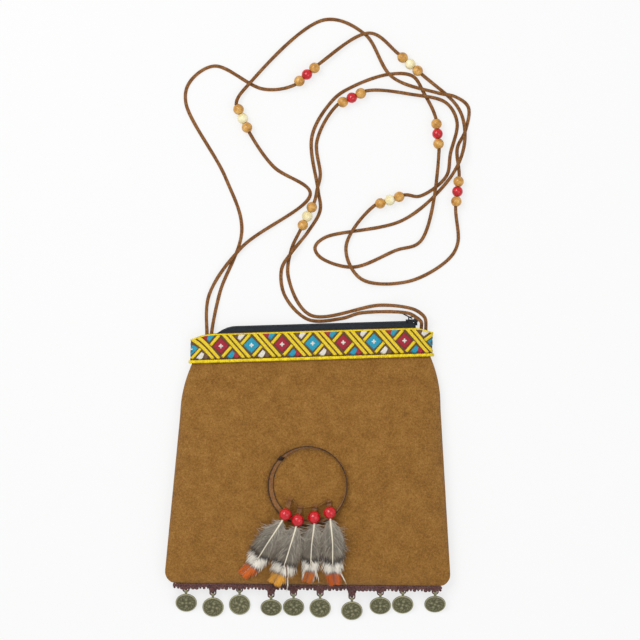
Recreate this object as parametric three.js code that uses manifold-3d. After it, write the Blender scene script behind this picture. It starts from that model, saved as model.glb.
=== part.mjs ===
import * as THREE from 'three';
import { mergeVertices } from 'three/addons/utils/BufferGeometryUtils.js';
import Module from 'manifold-3d';

// Shoulder bag lying on its back. X runs across the bag, Y to its mouth, Z out of its front.
// The origin lies on the flat of the back panel. All sizes are in millimetres.
const BAG_HEIGHT = 190.6; // bottom seam to the mouth
const BASE_WIDTH = 215;
const SHOULDER_WIDTH = 195;
const MOUTH_WIDTH = 179;
const SHOULDER_AT = 131; // height of the shoulders above the bottom seam
const CORNER_RADIUS = 10;
const BACK_CENTRE = 95; // origin above the bottom seam
const LEAN = 3.2; // the mouth sits this far to the right of the base
const BASE_SLOPE = -0.012;
const MOUTH_SLOPE = 0.0297;
const SUEDE = 1.2; // panel thickness
const GAP = 0.3; // clearance left between touching pieces
const CROWN = 20; // front of the stuffed bag above the table
const CROWN_AT = 80;
const MOUTH_FRONT = 9.2;
const BASE_SEAM = 8.5; // height of the seam above the table
const MOUTH_SEAM = 5.15;
const BACK_ROLL = 18; // width over which the back rises to the seam

const RIBBON_HEIGHT = 20.5;
const RIBBON_THICKNESS = 0.75;
const RIBBON_GAP = 0.35;

const ZIP_LEFT = -72;
const ZIP_RIGHT = 78;
const TAPE_THICKNESS = 0.6;
const TAPE_TUCK = 9; // depth of the tape inside the mouth
const TAPE_APART = 1.7; // from the middle of the chain to a tape
const CHAIN_PITCH = 3.6;
const CHAIN_RIGHT = 76;
const CHAIN_NEAR = 3.7; // chain in front of the mouth
const CHAIN_FAR = 4.9;
const SLIDER_LENGTH = 9;
const SLIDER_AT = 75.2;
const PLATE = 1;
const BRIDGE_HOLE = 1.4;
const PULL_LENGTH = 12;
const PULL_WIDTH = 3.4;
const PULL_THICKNESS = 0.9;
const PULL_ANGLE = 150.3; // degrees round from the zip

const TRIM_HEIGHT = 2.6;
const TRIM_THICKNESS = 2.6;
const THREAD_RADIUS = 0.55;
const COIN_RADIUS = 8;
const COIN_THICKNESS = 0.9;
const COIN_RIM = 0.15;
const COIN_HANG = 10.5; // coin centre below the thread it hangs on
const LUG_RADIUS = 1.5;
const LUG_BORE = 0.95;
const LUG_WIDTH = 2.2;
// Each coin: place across the bag, place of its thread, tilt in degrees.
const COINS = [
  [-90.9, -99.4, 30], [-70.8, -102.1, 22], [-50.9, -99.9, 14], [-27.2, -103.6, 36], [-10.4, -102.6, 30],
  [9.5, -102.8, 22], [33.3, -105.1, 26], [54.6, -101.9, 33], [71.4, -100.8, 30], [95.6, -101.0, 36],
];

const HOOP_FOOT = [2.0, -19.1, 26.9]; // centre and radius where the band stands on the bag
const HOOP_EDGE = [0, -20.1, 29.9]; // centre and radius of its free edge
const HOOP_HEIGHT = 3.2;
const HOOP_THICKNESS = 0.9;
const HOOP_JOIN = 135; // degrees round to the lapped join

const BEAD_RADIUS = 4.6;
const BEAD_BORE = 1.5;
const EYE_RADIUS = 1.45;
const EYE_BORE = 0.75;
const TAB_WIDTH = 3.4;
const TAB_THICKNESS = 1.6;
const TONGUE_WIDTH = 2;
const TONGUE_THICKNESS = 1.2;
const HANG_THREAD = 0.4;
const QUILL_RADIUS = 0.8;
const VANE_HALF = 0.5; // half the thickness of a vane
const VANE_OVER = 1.1; // spine of the lowest vane over the bag
const LAYER_STEP = 2.5; // from a vane to the one that lies over it
// Each pendant: eye of its lace, its bead, lift of the bead over the bag, layer of its feather,
// route of the feather and half its width.
const PENDANTS = [
  [[-12.9, -29.9], [-16.3, -41.1], 8.0, 0, [[-19.5, -47.2], [-28.5, -61], [-38.6, -76.5], [-50, -88]], 10],
  [[-5.4, -35.9], [-7.3, -45.4], 8.2, 1, [[-8.8, -51.8], [-12.4, -63.8], [-18.4, -81.8], [-25, -92.5]], 10],
  [[5.7, -35.4], [5, -43.3], 5.6, 0, [[5.1, -49.6], [3.2, -64.5], [1.9, -81.8], [-0.8, -91.5]], 9],
  [[15.9, -31.7], [16.7, -39.7], 7.1, 1, [[17.2, -46], [18.7, -61.5], [19, -80.2], [20.6, -93]], 9],
];

const LACE_WIDTH = 2.6;
const LACE_THICKNESS = 1.3;
const STRAP_BEAD_RADIUS = 4;
const STRAP_BEAD_LENGTH = 7.2;
const STRAP_BEAD_PITCH = 7.5;
const STRAP_BEAD_BORE = 1.8;
// Routes of the two laces, from the left end of the mouth to the right end.
const LACE_A = [
  [-72.0, 87.8, 3.45], [-72.0, 93.0, 3.75], [-65.7, 124.5, 0.70], [-49.3, 171.0, 0.70],
  [-61.5, 210.3, 0.70], [-91.4, 267.0, 0.70], [-88.3, 282.3, 0.70], [-69.9, 294.2, 0.70],
  [-33.1, 276.9, 0.70], [-9.2, 280.0, 4.05], [8.4, 295.3, 4.05], [46.9, 318.8, 2.45],
  [68.2, 303.1, 4.05], [85.8, 287.7, 4.05], [112.9, 263.2, 0.70], [118.1, 245.2, 3.00],
  [115.1, 225.4, 6.70], [102.8, 204.8, 1.20], [71.2, 178.3, 0.70], [12.4, 165.1, 0.70],
  [5.6, 157.9, 0.70], [9.4, 150.8, 0.70], [33.9, 143.2, 0.70], [66.4, 155.8, 0.70],
  [85.0, 162.8, 1.65], [98.7, 231.5, 4.05], [96.3, 254.8, 4.05], [87.5, 273.8, 0.70],
  [79.0, 286.6, 0.70], [61.1, 288.0, 0.70], [32.8, 278.2, 0.70], [19.4, 269.0, 0.70],
  [3.4, 241.5, 0.70], [7.9, 201.3, 0.70], [9.5, 186.0, 0.70], [0.7, 170.2, 0.70],
  [-12.5, 153.4, 4.55], [-19.4, 141.9, 0.70], [-17.1, 122.0, 0.70], [0.5, 103.9, 0.70],
  [25.9, 104.7, 0.70], [40.1, 108.8, 0.70], [75.4, 108.6, 10.85], [81.0, 105.8, 8.60],
  [85.1, 102.3, 8.60], [85.4, 98.2, 4.90], [85.2, 93.8, 4.25],
];
const LACE_B = [
  [-75.4, 87.8, 3.75], [-75.4, 93.0, 4.05], [-73.9, 122.0, 2.35], [-49.5, 157.9, 2.35],
  [2.1, 198.5, 0.70], [-25.4, 218.6, 0.70], [-43.6, 244.1, 4.05], [-53.5, 265.3, 4.05],
  [-43.1, 281.5, 2.45], [12.8, 328.9, 0.70], [43.0, 318.2, 0.70], [63.4, 286.0, 2.60],
  [96.8, 274.0, 4.40], [111.4, 270.8, 3.10], [120.8, 263.2, 0.70], [118.4, 245.2, 0.70],
  [112.5, 232.5, 0.70], [113.8, 211.5, 4.05], [111.1, 188.3, 4.05], [112.8, 161.2, 0.70],
  [105.6, 148.9, 0.70], [75.5, 132.4, 0.70], [40.0, 134.5, 3.05], [28.9, 158.2, 1.60],
  [50.6, 189.6, 4.05], [72.7, 197.3, 4.05], [84.4, 196.5, 0.70], [104.2, 211.4, 0.70],
  [107.3, 228.2, 0.70], [112.3, 252.0, 0.70], [103.9, 266.5, 3.55], [78.4, 272.7, 3.55],
  [43.8, 275.3, 4.05], [22.7, 265.1, 4.05], [7.1, 237.8, 0.70], [9.6, 212.0, 2.35],
  [7.3, 201.8, 2.35], [5.1, 191.8, 4.05], [-5.4, 170.9, 4.05], [-12.1, 156.4, 0.70],
  [-14.4, 135.8, 0.70], [2.0, 107.3, 0.70], [54.4, 114.6, 1.75], [76.9, 112.3, 12.30],
  [83.6, 109.4, 8.60], [87.8, 105.3, 10.45], [88.8, 98.8, 4.90], [88.5, 93.8, 4.95],
];
// Bead groups on each lace: first point of the group on the route, name, colour of the middle bead.
const GROUPS_A = [[9, 'a1', 'red'], [12, 'a2', 'cream'], [25, 'a3', 'red']];
const GROUPS_B = [
  [6, 'b1', 'cream'], [17, 'b2', 'red'], [24, 'b3', 'cream'], [32, 'b4', 'red'], [37, 'b5', 'cream'],
];

const wasm = await Module();
wasm.setup();

const material = (color, roughness, metalness = 0) =>
  new THREE.MeshStandardMaterial({ color, roughness, metalness });
const suede = material(0x966932, 0.95);
const laceSuede = material(0x825528, 0.9);
const weave = material(0x8a3a2a, 0.8);
const tapeCloth = material(0x191e23, 0.9);
const nylon = material(0x15171a, 0.5);
const blackMetal = material(0x202225, 0.4, 0.8);
const crochet = material(0x503237, 0.9);
const bronze = material(0x4b4b32, 0.45, 0.9);
const plume = material(0x8c8478, 0.9);
const beadPaint = {
  wood: material(0xc89132, 0.5),
  red: material(0xd71e3c, 0.2),
  cream: material(0xeee1aa, 0.4),
};

const bag = new THREE.Group();
bag.name = 'shoulder_bag';

const vec = (x, y, z) => new THREE.Vector3(x, y, z);
const radians = THREE.MathUtils.degToRad;
const lerp = THREE.MathUtils.lerp;
const smooth = (value) => THREE.MathUtils.smoothstep(value, 0, 1);

function piece(name, geometry, look, parent = bag) {
  geometry.computeVertexNormals();
  const mesh = new THREE.Mesh(geometry, look);
  mesh.name = name;
  parent.add(mesh);
  return mesh;
}

// Closed surface from points and faces, turned so that it faces out.
function closedSurface(points, faces) {
  let volume = 0;
  for (let i = 0; i < faces.length; i += 3) {
    const [a, b, c] = [points[faces[i]], points[faces[i + 1]], points[faces[i + 2]]];
    volume += a.dot(b.clone().cross(c));
  }
  const index = volume < 0 ? faces.slice().reverse() : faces;
  return new THREE.BufferGeometry().setFromPoints(points).setIndex(index);
}

// Sheet between two matching grids of points, open at its borders or running round in a loop.
function sheetBetween(outer, inner, around = false) {
  const rows = outer.length;
  const cols = outer[0].length;
  const spans = around ? cols : cols - 1;
  const at = (side, r, c) => side * rows * cols + r * cols + (c % cols);
  const faces = [];
  const quad = (a, b, c, d) => faces.push(a, b, c, a, c, d);
  for (let r = 0; r < rows - 1; r++) {
    for (let c = 0; c < spans; c++) {
      quad(at(0, r, c), at(0, r, c + 1), at(0, r + 1, c + 1), at(0, r + 1, c));
      quad(at(1, r, c), at(1, r + 1, c), at(1, r + 1, c + 1), at(1, r, c + 1));
    }
  }
  const end = rows - 1;
  for (let c = 0; c < spans; c++) {
    quad(at(1, 0, c), at(1, 0, c + 1), at(0, 0, c + 1), at(0, 0, c));
    quad(at(0, end, c), at(0, end, c + 1), at(1, end, c + 1), at(1, end, c));
  }
  for (let r = 0; r < end && !around; r++) {
    quad(at(0, r, 0), at(0, r + 1, 0), at(1, r + 1, 0), at(1, r, 0));
    quad(at(1, r, cols - 1), at(1, r + 1, cols - 1), at(0, r + 1, cols - 1), at(0, r, cols - 1));
  }
  return closedSurface([...outer.flat(), ...inner.flat()], faces);
}

// Solid through a run of convex sections, closed at its ends or joined into a loop.
function loft(sections, loop = false) {
  const count = sections.length;
  const sides = sections[0].length;
  const at = (i, j) => (i % count) * sides + (j % sides);
  const faces = [];
  for (let i = 0; i < (loop ? count : count - 1); i++) {
    for (let j = 0; j < sides; j++) {
      faces.push(at(i, j), at(i, j + 1), at(i + 1, j + 1), at(i, j), at(i + 1, j + 1), at(i + 1, j));
    }
  }
  for (let j = 1; j < sides - 1 && !loop; j++) {
    faces.push(at(0, 0), at(0, j + 1), at(0, j));
    faces.push(at(count - 1, 0), at(count - 1, j), at(count - 1, j + 1));
  }
  return closedSurface(sections.flat(), faces);
}

// Sections of a run that keeps its width level, with half width and half thickness from size(i).
function levelSections(route, outline, size) {
  return route.map((point, i) => {
    const before = route[Math.max(i - 1, 0)];
    const after = route[Math.min(i + 1, route.length - 1)];
    const ahead = point.clone().sub(before).normalize().add(after.clone().sub(point).normalize()).normalize();
    const side = vec(0, 0, 1).cross(ahead).normalize();
    const up = ahead.clone().cross(side);
    const [half, thick] = size(i);
    return outline.map(([a, b]) => point.clone()
      .addScaledVector(side, a * half).addScaledVector(up, b * thick));
  });
}

const ringOutline = (sides) => Array.from({ length: sides }, (_, i) => {
  const turn = (2 * Math.PI * i) / sides;
  return [Math.cos(turn), Math.sin(turn)];
});
const FLAT_OUTLINE = [[1, -0.5], [1, 0.5], [0.8, 1], [-0.8, 1], [-1, 0.5], [-1, -0.5], [-0.8, -1], [0.8, -1]];
const LEAF_OUTLINE = [[1, 0], [0.3, 0.7], [0, 1], [-0.3, 0.7], [-1, 0], [0, -0.6]];

function toSolid(geometry) {
  const plain = new THREE.BufferGeometry().setAttribute('position', geometry.getAttribute('position'));
  plain.setIndex(geometry.index);
  const merged = mergeVertices(plain, 1e-4);
  const triVerts = new Uint32Array(merged.index.array);
  const vertProperties = new Float32Array(merged.attributes.position.array);
  return new wasm.Manifold(new wasm.Mesh({ numProp: 3, vertProperties, triVerts }));
}

function fromSolid(solid) {
  const mesh = solid.getMesh();
  const geometry = new THREE.BufferGeometry();
  geometry.setAttribute('position', new THREE.BufferAttribute(new Float32Array(mesh.vertProperties), 3));
  return geometry.setIndex(new THREE.BufferAttribute(new Uint32Array(mesh.triVerts), 1));
}

const joined = (first, ...rest) =>
  fromSolid(rest.reduce((sum, next) => sum.add(toSolid(next)), toSolid(first)));
const block = (x0, x1, y0, y1, z0, z1) =>
  new THREE.BoxGeometry(x1 - x0, y1 - y0, z1 - z0).translate((x0 + x1) / 2, (y0 + y1) / 2, (z0 + z1) / 2);

// The bag's form, by height above the bottom seam.
const RIBBON_FROM = BAG_HEIGHT - RIBBON_HEIGHT;
const CUFF_FROM = RIBBON_FROM - 2; // the cuff under the ribbon keeps one section
const BACK_STEP = RIBBON_GAP + RIBBON_THICKNESS; // the back rises by the ribbon under it
const toMouth = (v) => smooth((v - CROWN_AT) / (CUFF_FROM - CROWN_AT));
const centreX = (v) => (LEAN * v) / BAG_HEIGHT;
const slopeAt = (v) => lerp(BASE_SLOPE, MOUTH_SLOPE, smooth(v / CUFF_FROM));
const seamZ = (v) => lerp(BASE_SEAM, MOUTH_SEAM, smooth(v / CUFF_FROM));
const placeY = (v, x) => v - BACK_CENTRE + slopeAt(v) * (x - centreX(v));

function halfWidth(v) {
  const base = lerp(BASE_WIDTH, SHOULDER_WIDTH, Math.min(v / SHOULDER_AT, 1)) / 2;
  const rise = THREE.MathUtils.clamp((v - SHOULDER_AT) / (CUFF_FROM - SHOULDER_AT), 0, 1);
  const side = lerp(base, MOUTH_WIDTH / 2, rise * rise);
  const round = Math.max(CORNER_RADIUS - v, 0);
  return side - CORNER_RADIUS + Math.sqrt(CORNER_RADIUS ** 2 - round ** 2);
}

function crownRise(v) {
  const below = Math.max(1 - v / CROWN_AT, 0);
  const body = CROWN - seamZ(v);
  return lerp(body * Math.sqrt(1 - below ** 2.2), MOUTH_FRONT - seamZ(v), toMouth(v));
}

// Point of the front panel; inset moves it to the panel's inner face.
function frontPoint(v, across, inset = 0) {
  const inner = inset + (v * (BAG_HEIGHT - inset)) / BAG_HEIGHT;
  const power = lerp(2.6, 8, toMouth(v));
  const x = centreX(inner) + across * (halfWidth(inner) - inset);
  const rise = crownRise(v) - inset * Math.min(v / 14, 1);
  const z = seamZ(v) + GAP / 2 + rise * Math.sqrt(1 - Math.abs(across) ** power);
  return vec(x, placeY(inner, x), z);
}

function frontZ(x, y) {
  let v = y + BACK_CENTRE;
  for (let i = 0; i < 4; i++) v = y + BACK_CENTRE - slopeAt(v) * (x - centreX(v));
  return frontPoint(v, THREE.MathUtils.clamp((x - centreX(v)) / halfWidth(v), -1, 1)).z;
}

// Point of the back panel's underside, by its distance from the nearer side seam.
function backPoint(v, x, fromSide) {
  const sides = (1 - Math.min(fromSide / BACK_ROLL, 1)) ** 2;
  const base = (1 - Math.min(v / BACK_ROLL, 1)) ** 2;
  const flat = BACK_STEP * THREE.MathUtils.clamp((v - CUFF_FROM + 6) / 6, 0, 1);
  const edge = seamZ(v) - GAP / 2 - SUEDE;
  return vec(x, placeY(v, x), lerp(edge, flat, (1 - sides) * (1 - base)));
}

function backRow(v, thick = 0) {
  const half = halfWidth(v);
  const middle = centreX(v);
  const flat = half - BACK_ROLL;
  const steps = [0, 4, 9, BACK_ROLL].map((d) => [d - half, d]);
  const row = [...steps, [-flat / 3, half], [flat / 3, half], ...steps.map(([x, d]) => [-x, d]).reverse()];
  return row.map(([x, d]) => backPoint(v, middle + x, d).add(vec(0, 0, thick)));
}

const FRONT_ACROSS = [-1, -0.985, -0.94, -0.86, -0.74, -0.56, -0.3, 0, 0.3, 0.56, 0.74, 0.86, 0.94, 0.985, 1];
const frontRow = (v, inset) => FRONT_ACROSS.map((across) => frontPoint(v, across, inset));

function frontPanel() {
  const heights = [0, 1.5, 5, 11, 20, 34, 54, CROWN_AT, 108, SHOULDER_AT, 150, CUFF_FROM, BAG_HEIGHT];
  return sheetBetween(heights.map((v) => frontRow(v, 0)), heights.map((v) => frontRow(v, SUEDE)));
}

function backPanel() {
  const heights = [0, 4, 9, BACK_ROLL, 50, 106, SHOULDER_AT, CUFF_FROM - 6, CUFF_FROM, BAG_HEIGHT];
  return sheetBetween(heights.map((v) => backRow(v, SUEDE)), heights.map((v) => backRow(v)));
}

// Outline round both panels at one height, moved out by a distance.
function roundBag(v, out) {
  const loop = [...frontRow(v, 0), ...backRow(v).reverse()];
  return loop.map((point, i) => {
    const before = loop[(i + loop.length - 1) % loop.length];
    const after = loop[(i + 1) % loop.length];
    const first = vec(before.z - point.z, 0, point.x - before.x).normalize();
    const second = vec(point.z - after.z, 0, after.x - point.x).normalize();
    const outward = first.add(second);
    return point.clone().addScaledVector(outward, (2 * out) / outward.lengthSq());
  });
}

function ribbonBand() {
  const heights = [RIBBON_FROM, (RIBBON_FROM + BAG_HEIGHT) / 2, BAG_HEIGHT - 0.4];
  const rows = (out) => heights.map((v) => roundBag(v, out));
  return sheetBetween(rows(RIBBON_GAP + RIBBON_THICKNESS), rows(RIBBON_GAP), true);
}

// The zip, in a frame on the mouth: x along the zip, y out of the mouth, z up from the middle of the chain.
const mouth = new THREE.Group();
mouth.name = 'mouth';
mouth.position.set(centreX(BAG_HEIGHT), BAG_HEIGHT - BACK_CENTRE, MOUTH_SEAM);
mouth.rotation.z = Math.atan(MOUTH_SLOPE);
bag.add(mouth);

function tape(side) {
  const path = [[-TAPE_TUCK, 1], [1.2, 1], [2.4, 0.88], [3.1, 0.56], [3.1, 0.24]];
  const half = TAPE_THICKNESS / 2;
  const line = path.map(([y, share]) => new THREE.Vector2(y, share * TAPE_APART));
  const normal = (i) => {
    const step = line[Math.min(i + 1, line.length - 1)].clone().sub(line[Math.max(i - 1, 0)]).normalize();
    return new THREE.Vector2(-step.y, step.x);
  };
  const upper = line.map((point, i) => point.clone().addScaledVector(normal(i), half));
  const lower = line.map((point, i) => point.clone().addScaledVector(normal(i), -half));
  const row = (points) => [ZIP_LEFT, ZIP_RIGHT].map((x) => points.map((p) => vec(x, p.x, side * p.y)));
  return sheetBetween(row(upper), row(lower));
}

// One row of the chain: a spine with teeth that reach past the middle.
function chainRow(side) {
  const shape = new THREE.Shape();
  const left = ZIP_LEFT + 1.5;
  const tooth = 0.7;
  const reach = 0.5;
  const count = Math.floor((CHAIN_RIGHT - left) / CHAIN_PITCH);
  const shift = side > 0 ? 0.4 : 0.4 + CHAIN_PITCH / 2;
  shape.moveTo(left, side * TAPE_APART);
  shape.lineTo(left, side * 1.1);
  for (let i = 0; i < count; i++) {
    const x = left + shift + i * CHAIN_PITCH;
    shape.lineTo(x, side * 1.1);
    shape.lineTo(x, -side * reach);
    shape.lineTo(x + tooth, -side * reach);
    shape.lineTo(x + tooth, side * 1.1);
  }
  shape.lineTo(CHAIN_RIGHT, side * 1.1);
  shape.lineTo(CHAIN_RIGHT, side * TAPE_APART);
  const row = new THREE.ExtrudeGeometry(shape, { depth: CHAIN_FAR - CHAIN_NEAR, bevelEnabled: false });
  return row.rotateX(Math.PI / 2).translate(0, CHAIN_FAR, 0);
}

const PLATE_FROM = CHAIN_FAR + GAP;
const PIVOT_OUT = PLATE_FROM + PLATE + BRIDGE_HOLE / 2;

function sliderBody() {
  const half = SLIDER_LENGTH / 2;
  const wide = TAPE_APART + 0.7;
  const top = PLATE_FROM + PLATE;
  const bridge = top + BRIDGE_HOLE;
  return joined(
    block(-half, half, PLATE_FROM, top, -wide, wide),
    block(-half, half, CHAIN_NEAR + 0.2, top, wide - 0.4, wide),
    block(-half, half, CHAIN_NEAR + 0.2, top, -wide, 0.4 - wide),
    block(half - 2.9, half - 0.4, 1.5, top, -0.2, 0.2),
    block(-half + 0.6, half - 0.4, 1.5, 2.5, -0.85, 0.85),
    block(-2.7, -1.8, top - 0.2, bridge + 0.8, -0.7, 0.7),
    block(1.8, 2.7, top - 0.2, bridge + 0.8, -0.7, 0.7),
    block(-2.7, 2.7, bridge, bridge + 0.8, -0.7, 0.7),
  );
}

function pullTab() {
  const wide = PULL_WIDTH / 2;
  const half = PULL_THICKNESS / 2;
  const bar = new THREE.CylinderGeometry(half, half, PULL_WIDTH, 10).rotateX(Math.PI / 2);
  return joined(
    bar,
    block(0, 4, -half, half, 1, wide),
    block(0, 4, -half, half, -wide, -1),
    block(3.4, PULL_LENGTH, -half, half, -wide, wide),
  );
}

// Bottom seam and the crocheted trim sewn along it.
function baseY(x) {
  const half = halfWidth(0) - centreX(0);
  const past = Math.max(Math.abs(x) - half, 0);
  const round = CORNER_RADIUS - Math.sqrt(Math.max(CORNER_RADIUS ** 2 - past ** 2, 0));
  return BASE_SLOPE * x - BACK_CENTRE + round;
}

const TRIM_REACH = halfWidth(0) + CORNER_RADIUS * 0.2;
const trimY = (x) => baseY(x) - 0.5 - TRIM_HEIGHT / 2;

function trimStrip() {
  const route = Array.from({ length: 17 }, (_, i) => lerp(-TRIM_REACH, TRIM_REACH, i / 16));
  const points = route.map((x) => vec(x, trimY(x), BASE_SEAM));
  return loft(levelSections(points, FLAT_OUTLINE, () => [TRIM_HEIGHT / 2, TRIM_THICKNESS / 2]));
}

const coinTilt = (tilt) => radians(tilt);
const coinLift = (tilt) => (COIN_HANG + COIN_RADIUS) * Math.sin(coinTilt(tilt))
  + (COIN_THICKNESS / 2 + COIN_RIM) * Math.cos(coinTilt(tilt)) + 0.05;

// Loop of thread below the trim; its bar runs through the coin's lug.
function threadLoop([x, y, tilt]) {
  const z = coinLift(tilt);
  const apart = LUG_WIDTH / 2 + THREAD_RADIUS + 0.4;
  const leg = (side) => [vec(x + side * (apart + 0.2), trimY(x), BASE_SEAM), vec(x + side * apart, y + 0.7, z),
    vec(x + side * (apart - 0.5), y, z)];
  const route = [...leg(-1), ...leg(1).reverse()];
  const sections = route.map((point, i) => {
    const before = route[Math.max(i - 1, 0)];
    const after = route[Math.min(i + 1, route.length - 1)];
    const ahead = after.clone().sub(before).normalize();
    const up = vec(0, BASE_SEAM - z, trimY(x) - y - 8).normalize();
    const side = ahead.clone().cross(up).normalize();
    const rise = side.clone().cross(ahead);
    return ringOutline(6).map(([a, b]) => point.clone()
      .addScaledVector(side, a * THREAD_RADIUS).addScaledVector(rise, b * THREAD_RADIUS));
  });
  return loft(sections);
}

const crochetTrim = () => joined(trimStrip(), ...COINS.map(threadLoop));

// Coin with a raised rim, hung by a tube lug; its own origin is the thread it swings on.
function coin() {
  const half = COIN_THICKNESS / 2;
  const rim = half + COIN_RIM;
  const profile = [[0, -half], [COIN_RADIUS - 1, -half], [COIN_RADIUS - 0.8, -rim], [COIN_RADIUS, -rim],
    [COIN_RADIUS, rim], [COIN_RADIUS - 0.8, rim], [COIN_RADIUS - 1, half], [0, half]];
  const disc = new THREE.LatheGeometry(profile.map(([r, y]) => new THREE.Vector2(r, y)), 14);
  disc.rotateX(Math.PI / 2).translate(0, -COIN_HANG, 0);
  const tube = new THREE.Shape().absarc(0, 0, LUG_RADIUS, 0, 2 * Math.PI);
  tube.holes.push(new THREE.Path().absarc(0, 0, LUG_BORE, 0, 2 * Math.PI));
  const lug = new THREE.ExtrudeGeometry(tube, { depth: LUG_WIDTH, bevelEnabled: false, curveSegments: 5 });
  lug.translate(0, 0, -LUG_WIDTH / 2).rotateY(Math.PI / 2);
  const neck = block(-0.9, 0.9, COIN_RADIUS - COIN_HANG - 0.6, -LUG_BORE - 0.25, -half, half);
  return joined(disc, lug, neck);
}

// Suede band bent into a leaning hoop; its ends lap at the join.
function hoopBand() {
  const steps = 40;
  const [footX, footY, footRadius] = HOOP_FOOT;
  const foot = (turn) => [footX + footRadius * Math.cos(turn), footY + footRadius * Math.sin(turn)];
  const turns = Array.from({ length: steps }, (_, i) => (2 * Math.PI * i) / steps);
  const stand = Math.max(...turns.map((turn) => frontZ(...foot(turn)))) + GAP;
  const sections = turns.map((turn) => {
    const [x, y] = foot(turn);
    const thick = Math.abs(turn - radians(HOOP_JOIN)) < 0.2 ? 1.8 * HOOP_THICKNESS : HOOP_THICKNESS;
    const out = [Math.cos(turn) * thick, Math.sin(turn) * thick];
    const edgeX = HOOP_EDGE[0] + (HOOP_EDGE[2] - HOOP_THICKNESS) * Math.cos(turn);
    const edgeY = HOOP_EDGE[1] + (HOOP_EDGE[2] - HOOP_THICKNESS) * Math.sin(turn);
    return [vec(x, y, stand), vec(x + out[0], y + out[1], stand),
      vec(edgeX + out[0], edgeY + out[1], stand + HOOP_HEIGHT), vec(edgeX, edgeY, stand + HOOP_HEIGHT)];
  });
  return loft(sections, true);
}

// Bead with a straight bore along its own y axis.
function beadGeometry(radius, length, bore, around = 12) {
  const rounds = 3;
  const profile = [new THREE.Vector2(bore, -length / 2)];
  const start = Math.asin(Math.min(length / 2 / radius, 0.999));
  for (let i = 0; i <= rounds * 2; i++) {
    const turn = lerp(-start, start, i / (rounds * 2));
    profile.push(new THREE.Vector2(Math.max(radius * Math.cos(turn), bore + 0.25), radius * Math.sin(turn)));
  }
  profile.push(new THREE.Vector2(bore, length / 2));
  profile.push(profile[0].clone());
  return fromSolid(toSolid(new THREE.LatheGeometry(profile, around)));
}

const eyeZ = ([x, y]) => frontZ(x, y) + GAP + EYE_RADIUS;
const beadAt = ([, bead, lift]) => vec(...bead, frontZ(...bead) + lift);

// Frame of a pendant: origin in its eye, x along its hinge, y back up the bag.
function pendantFrame(pendant) {
  const [eye, bead] = pendant;
  const group = new THREE.Group();
  group.position.set(...eye, eyeZ(eye));
  group.rotation.z = Math.atan2(bead[1] - eye[1], bead[0] - eye[0]) + Math.PI / 2;
  bag.add(group);
  group.updateMatrixWorld(true);
  return group;
}

function laceTab(bead) {
  const tube = new THREE.Shape().absarc(0, 0, EYE_RADIUS, 0, 2 * Math.PI);
  tube.holes.push(new THREE.Path().absarc(0, 0, EYE_BORE, 0, 2 * Math.PI));
  const eye = new THREE.ExtrudeGeometry(tube, { depth: TAB_WIDTH, bevelEnabled: false, curveSegments: 5 });
  eye.translate(0, 0, -TAB_WIDTH / 2).rotateY(Math.PI / 2);
  const inHole = bead.clone().add(vec(0, BEAD_RADIUS * 0.2, 0));
  const atHole = bead.clone().add(vec(0, BEAD_RADIUS * 0.96 + GAP, 0));
  const beforeHole = atHole.clone().add(vec(0, 0.4, 0));
  const route = [vec(0, -EYE_BORE - 0.35, -0.2), vec(0, -EYE_RADIUS - 0.6, 0), beforeHole, atHole, inHole];
  const sizes = [[TAB_WIDTH, 0.5], [TAB_WIDTH, TAB_THICKNESS], [TAB_WIDTH, TAB_THICKNESS],
    [TONGUE_WIDTH, TONGUE_THICKNESS], [TONGUE_WIDTH, TONGUE_THICKNESS]];
  const sections = route.map((point, i) => {
    const before = route[Math.max(i - 1, 0)];
    const after = route[Math.min(i + 1, route.length - 1)];
    const ahead = after.clone().sub(before).setX(0).normalize();
    const up = ahead.clone().cross(vec(1, 0, 0));
    return FLAT_OUTLINE.map(([a, b]) => point.clone()
      .add(vec((a * sizes[i][0]) / 2, 0, 0)).addScaledVector(up, (b * sizes[i][1]) / 2));
  });
  return joined(eye, loft(sections));
}

// Feather: quill in the bead, then a leaf of vane that lies down on the bag.
function feather(pendant) {
  const [, bead, , layer, route, half] = pendant;
  const start = beadAt(pendant);
  const away = vec(route[0][0] - bead[0], route[0][1] - bead[1], 0).normalize();
  const hole = start.clone().addScaledVector(away, BEAD_RADIUS * 0.25);
  const lip = start.clone().addScaledVector(away, BEAD_RADIUS + 0.8);
  const over = VANE_OVER + layer * LAYER_STEP;
  const spine = new THREE.CatmullRomCurve3(route.map(([x, y]) => vec(x, y, 0)));
  const lie = [0.12, 0.24, 0.36, 0.5, 0.64, 0.78, 0.9, 1].map((t) => {
    const at = spine.getPoint(t);
    const ground = Math.max(frontZ(at.x, at.y), frontZ(at.x - 6, at.y), frontZ(at.x + 6, at.y));
    return at.setZ(Math.max(ground + over, lerp(start.z, ground + over, Math.min(t * 2.2, 1))));
  });
  const points = [hole, lip, ...lie];
  const shares = [0, 0, 0.1, 0.55, 0.85, 1, 1, 0.9, 0.6, 0.15];
  const size = (i) => [Math.max(shares[i] * half, QUILL_RADIUS), i < 3 ? QUILL_RADIUS : VANE_HALF];
  return loft(levelSections(points, LEAF_OUTLINE, size));
}

function hangThread() {
  const points = PENDANTS.flatMap(([eye, bead]) => {
    const along = vec(eye[1] - bead[1], bead[0] - eye[0], 0).normalize();
    const middle = vec(...eye, eyeZ(eye));
    const reach = TAB_WIDTH / 2 + 0.5;
    return [middle.clone().addScaledVector(along, -reach), middle.clone().addScaledVector(along, reach)];
  });
  return loft(levelSections(points, ringOutline(6), () => [HANG_THREAD, HANG_THREAD]));
}

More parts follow.
